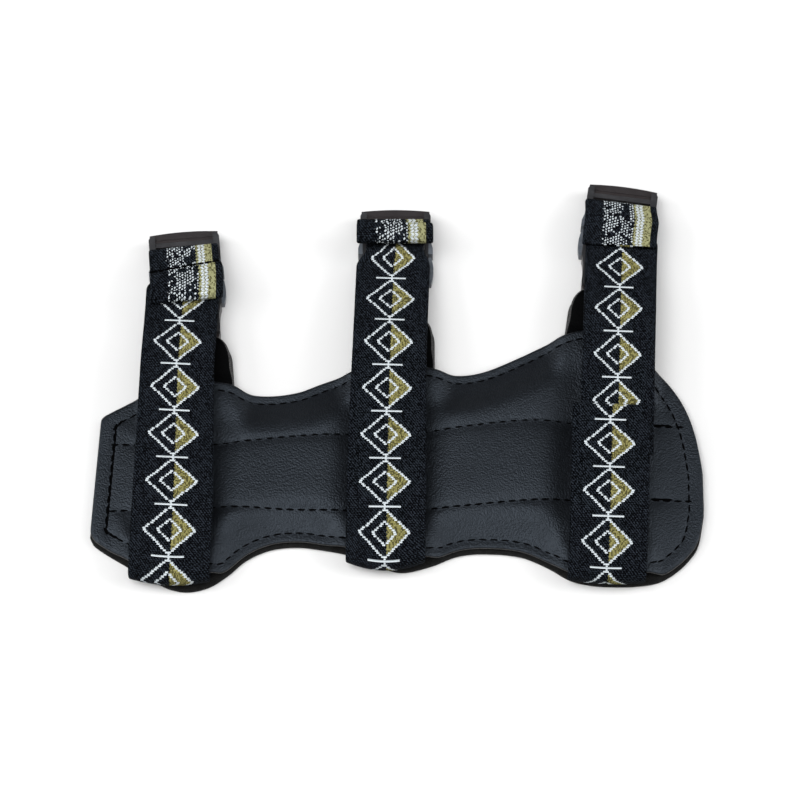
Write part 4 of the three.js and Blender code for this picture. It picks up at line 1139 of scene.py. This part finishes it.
ahead = unit(np.roll(face_edge, -1, axis=0) - np.roll(face_edge, 1, axis=0))
inward = np.stack([-ahead[:, 1], ahead[:, 0]], 1)
seam = face_edge + inward * seam_margin(face_edge[:, 0])[:, None]
seam = seam[edge_distance(seam, face_edge) > seam_margin(seam[:, 0]) - SEAM_SLACK]
stitched("rim_stitches", *on_face(seam), closed=True, width=RIM_THREAD_WIDTH)
quilt_x = np.linspace(*QUILT_ENDS, QUILT_STEPS)
tack_x = np.linspace(*QUILT_TACK, QUILT_TACK_STEPS)
for name, column in (("lower", QUILT_LOWER), ("upper", QUILT_UPPER)):
    line = np.stack([quilt_x, on_curve(QUILT_LINES, column, quilt_x)], 1)
    line = line[edge_distance(line, face_edge) > seam_margin(line[:, 0]) - QUILT_PAST_SEAM]
    stitched("quilt_stitches_" + name, *on_face(line))
    tack = np.stack([tack_x, on_curve(QUILT_LINES, column, tack_x)], 1) + QUILT_TACK_OFFSET
    stitched("quilt_tack_" + name, *on_face(tack), pitch=QUILT_TACK_PITCH)
back_tack = seam[seam[:, 0] < BACK_TACK_END]
back_tack = back_tack[np.argsort(back_tack[:, 1])] + BACK_TACK_OFFSET
stitched("back_tack_stitches", *on_face(back_tack), pitch=BACK_TACK_PITCH)
# the hem stitches sit just behind the tail's crease: stitching on the hem, and their dark row also stands in
# for the shade along that crease
wrist = STRAPS[0]
reach, v, z, width, slip = wrist["line"]
turn = np.argmax(v)
hem = turn + np.argmin(np.abs(v[turn:] - v[turn] + wrist["crease"] - HEM_STITCH_FROM_CREASE))
share = np.linspace(-1, 1, HEM_STEPS)
place, facing = wrist["path"](v[hem] + wrist["shift"](reach[hem], v[hem], share))
sideways = share * (width[hem] / 2 - HEM_STITCH_INSET) + slip[hem]
place = place + sideways[:, None] * np.stack([facing[:, 1], -facing[:, 0]], 1)
over_tail = np.full(len(share), z[hem] + STRAP_THICKNESS / 2 + THREAD_SEAT)
straight_up = np.tile((0.0, 0.0, 1.0), (len(share), 1))
stitched("hem_stitches", np.column_stack([place, over_tail]), straight_up, pitch=HEM_STITCH_PITCH)

# Buckles: side-release buckles moulded in black plastic, with rounded edges. The socket hangs on its tab,
# and the plug carries the ladder bars that the strap is threaded round. Their lower faces are painted
# brownish as a painted sheen, and the faces along their sides lighter blue-grey as a painted highlight.
# painted sheen: a reddish brown on the lower and recessed faces, such as the end bar between the rails
PLASTIC_PAINTED_SHEEN = (0.0125, 0.0092, 0.0098)
PLASTIC_DARK = (0.013, 0.0132, 0.015)
PLASTIC_LIGHT = (0.024, 0.0243, 0.027)
PAINTED_SHEEN_FADE = (0.0057, 0.0064)
# painted highlight: lighter blue-grey on the buckles' side parts, for the light their edges catch
SIDE_HIGHLIGHT_DARK = (0.05, 0.06, 0.073)
SIDE_HIGHLIGHT_LIGHT = (0.095, 0.107, 0.125)
SIDE_HIGHLIGHT_FROM = 11.2
SIDE_HIGHLIGHT_PLACES = (12.5, 29.5)
EDGE_ROUND = 0.5
EDGE_SEGMENTS = 3
EDGE_ANGLE = 35
FLAT_ANGLE = 1
WELD = 1e-6
ON_PLANE = 1e-7
BAR_HALF = 1.5
BEAD_ROWS = 13

plastic, tree, shader = new_material("moulded_plastic")
place = object_place(tree)
sparks = noise(tree, place, scale=1400, detail=3)
scuffs = noise(tree, place, scale=240, detail=4, roughness=0.7)
height = add_node(tree, "ShaderNodeSeparateXYZ", {"Vector": place}).outputs["Z"]
worn = mixed(tree, banded(tree, scuffs, 0.35, 0.75), PLASTIC_DARK, PLASTIC_LIGHT)
fill_inputs(tree, shader, {
    # below the fade heights the plastic takes the painted brownish sheen, above them its own scuffed tone
    "Base Color": mixed(tree, banded(tree, height, *PAINTED_SHEEN_FADE), PLASTIC_PAINTED_SHEEN, worn),
    "Normal": bump(tree, sparks, distance=0.00005),
    "Roughness": maths(tree, "MULTIPLY_ADD", scuffs, 0.2, 0.3),
    "Specular IOR Level": 0.32,
})

# painted highlight material for the side parts; the noise only varies its tone
highlight_plastic, tree, shader = new_material("plastic_painted_highlight")
scuffs = noise(tree, object_place(tree), scale=320, detail=4, roughness=0.7)
fill_inputs(tree, shader, {
    "Base Color": mixed(tree, banded(tree, scuffs, 0.3, 0.7), SIDE_HIGHLIGHT_DARK, SIDE_HIGHLIGHT_LIGHT),
    "Roughness": 0.4,
    "Specular IOR Level": 0.4,
})

# raised bars across a plug's end bar: inner and outer edge, bow of the outer edge, reach to each side, top
END_BEADS = [
    (35.5, 37.1, 0.0, 9.8, 2.2),
    (38.4, 40.2, 0.65, 11.6, 1.8),
]


def buckle_place(strap, across, along, rise=0.0):
    """Place in the frame of a point beside, along and above a buckle's axis."""
    heading = turned(strap["turn"])
    beside = across * np.array([heading[1], -heading[0]])
    x, y = np.array(strap["base"]) + heading * (TAB_REACH + along) + beside
    return Vector((x, y + CENTRE_SHIFT, BUCKLE_MIDDLE + rise)) * MM


def add_bead(shape, strap, start, end, bow, reach, top):
    """Closed bar across the end bar of a plug, with its outer edge bowed."""
    rings = []
    for share in np.linspace(-1, 1, BEAD_ROWS):
        out = end + bow * (1 - share**2)
        corners = [(start, -BAR_HALF), (start, top), (out, top), (out, -BAR_HALF)]
        rings.append([shape.verts.new(buckle_place(strap, share * reach, v, rise)) for v, rise in corners])
    for ring, after in zip(rings, rings[1:]):
        for k in range(4):
            shape.faces.new((ring[k], ring[k - 1], after[k - 1], after[k]))
    shape.faces.new(rings[0])
    shape.faces.new(rings[-1][::-1])


def moulded(name, node, strap, beads=()):
    """Copy of a hard node with its flat faces joined, its beads added and its edges rounded."""
    shape = bmesh.new()
    shape.from_mesh(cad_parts[node].data)
    bmesh.ops.remove_doubles(shape, verts=shape.verts, dist=WELD)
    flat = math.radians(FLAT_ANGLE)
    bmesh.ops.dissolve_limit(shape, angle_limit=flat, verts=shape.verts, edges=shape.edges)
    for bead in beads:
        add_bead(shape, strap, *bead)
    heading = turned(strap["turn"])
    sideways = Vector((heading[1], -heading[0], 0))
    ahead = Vector((heading[0], heading[1], 0))
    cuts = [(buckle_place(strap, side * SIDE_HIGHLIGHT_FROM, 0), sideways) for side in (-1, 1)]
    for spot, facing in cuts + [(buckle_place(strap, 0, along), ahead) for along in SIDE_HIGHLIGHT_PLACES]:
        everything = [*shape.verts, *shape.edges, *shape.faces]
        bmesh.ops.bisect_plane(shape, geom=everything, dist=ON_PLANE, plane_co=spot, plane_no=facing)
    bmesh.ops.recalc_face_normals(shape, faces=shape.faces)
    start = buckle_place(strap, 0, 0)
    # faces beside the axis over the side parts take the painted highlight material
    for part in shape.faces:
        off = (part.calc_center_median() - start) / MM
        beside, along = abs(off @ sideways), off @ ahead
        side_highlight_here = beside > SIDE_HIGHLIGHT_FROM and SIDE_HIGHLIGHT_PLACES[0] < along < SIDE_HIGHLIGHT_PLACES[1]
        part.material_index = 1 if side_highlight_here else 0
    mesh = bpy.data.meshes.new(name)
    shape.to_mesh(mesh)
    shape.free()
    piece = new_object(name, mesh)
    rounding = piece.modifiers.new("rounding", "BEVEL")
    rounding.width = EDGE_ROUND * MM
    rounding.segments = EDGE_SEGMENTS
    rounding.limit_method = "ANGLE"
    rounding.angle_limit = math.radians(EDGE_ANGLE)
    mesh.materials.append(plastic)
    mesh.materials.append(highlight_plastic)
    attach(piece, "root")
    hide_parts(node)


for strap in STRAPS:
    moulded("plug_" + strap["name"], "buckle_plug_" + strap["name"], strap, END_BEADS)
    moulded("socket_" + strap["name"], "buckle_socket_" + strap["name"], strap)

# Table, light and camera: a plain white table top, lit by one large soft light overhead, a panel on each
# side and two weak fills. The camera looks down on the part from the strap side.
FLOOR_SIZE = 6.0
FLOOR_DROP = 0.0001
TABLE_WHITE = (0.65, 0.65, 0.65, 1)
ROOM_LIGHT = 0.16
CAMERA_ELEVATION = 68.0
CAMERA_DISTANCE = 1.4
CAMERA_LENS = 186.8
CAMERA_SHIFT = (0.0034, -0.0121)
CAMERA_SENSOR = 36
CAMERA_FAR = 50
# name, place, aim, size and power of each light
SOFT_LIGHTS = [
    ("overhead", (-0.32, -0.36, 1.5), (0, -0.1, 0), (1.3, 1.0), 22),
    ("left_panel", (-1.3, 0.0, 0.9), (0, 0, 0), (1.0, 0.7), 14),
    ("right_panel", (1.3, 0.0, 0.9), (0, 0, 0), (1.0, 0.7), 15),
    ("left_fill", (-0.75, 0.2, 1.4), (0, 0, 0), (0.6, 0.8), 3.5),
    ("right_fill", (0.75, 0.2, 1.4), (0, 0, 0), (0.6, 0.8), 4.5),
]
half = FLOOR_SIZE / 2
corners = [(x, y, -FLOOR_DROP) for x, y in ((-half, -half), (half, -half), (half, half), (-half, half))]
floor_mesh = bpy.data.meshes.new("floor")
floor_mesh.from_pydata(corners, [], [(0, 1, 2, 3)])
floor = new_object("floor", floor_mesh)
white_table, tree, shader = new_material("white_table")
fill_inputs(tree, shader, {"Base Color": TABLE_WHITE, "Roughness": 0.9, "Specular IOR Level": 0.0})
floor_mesh.materials.append(white_table)

world = bpy.data.worlds.new("studio")
bpy.context.scene.world = world
world.use_nodes = True
background = world.node_tree.nodes["Background"]
fill_inputs(world.node_tree, background, {"Color": (1, 1, 1, 1), "Strength": ROOM_LIGHT})

for name, location, aim, size, power in SOFT_LIGHTS:
    light = bpy.data.lights.new(name, "AREA")
    light.shape = "RECTANGLE"
    light.size, light.size_y = size
    light.energy = power
    lamp = new_object(name, light)
    lamp.location = location
    lamp.rotation_euler = (Vector(aim) - Vector(location)).to_track_quat("-Z", "Y").to_euler()

camera_data = bpy.data.cameras.new("camera")
camera = new_object("camera", camera_data)
rise = math.radians(CAMERA_ELEVATION)
aim = Vector((0, CENTRE_SHIFT * MM, 0))
camera.location = aim + CAMERA_DISTANCE * Vector((0, -math.cos(rise), math.sin(rise)))
camera.rotation_euler = (math.pi / 2 - rise, 0, 0)
camera_data.lens = CAMERA_LENS
camera_data.sensor_width = CAMERA_SENSOR
camera_data.shift_x, camera_data.shift_y = CAMERA_SHIFT
camera_data.clip_end = CAMERA_FAR
bpy.context.scene.camera = camera
bpy.context.scene.view_settings.view_transform = "Standard"
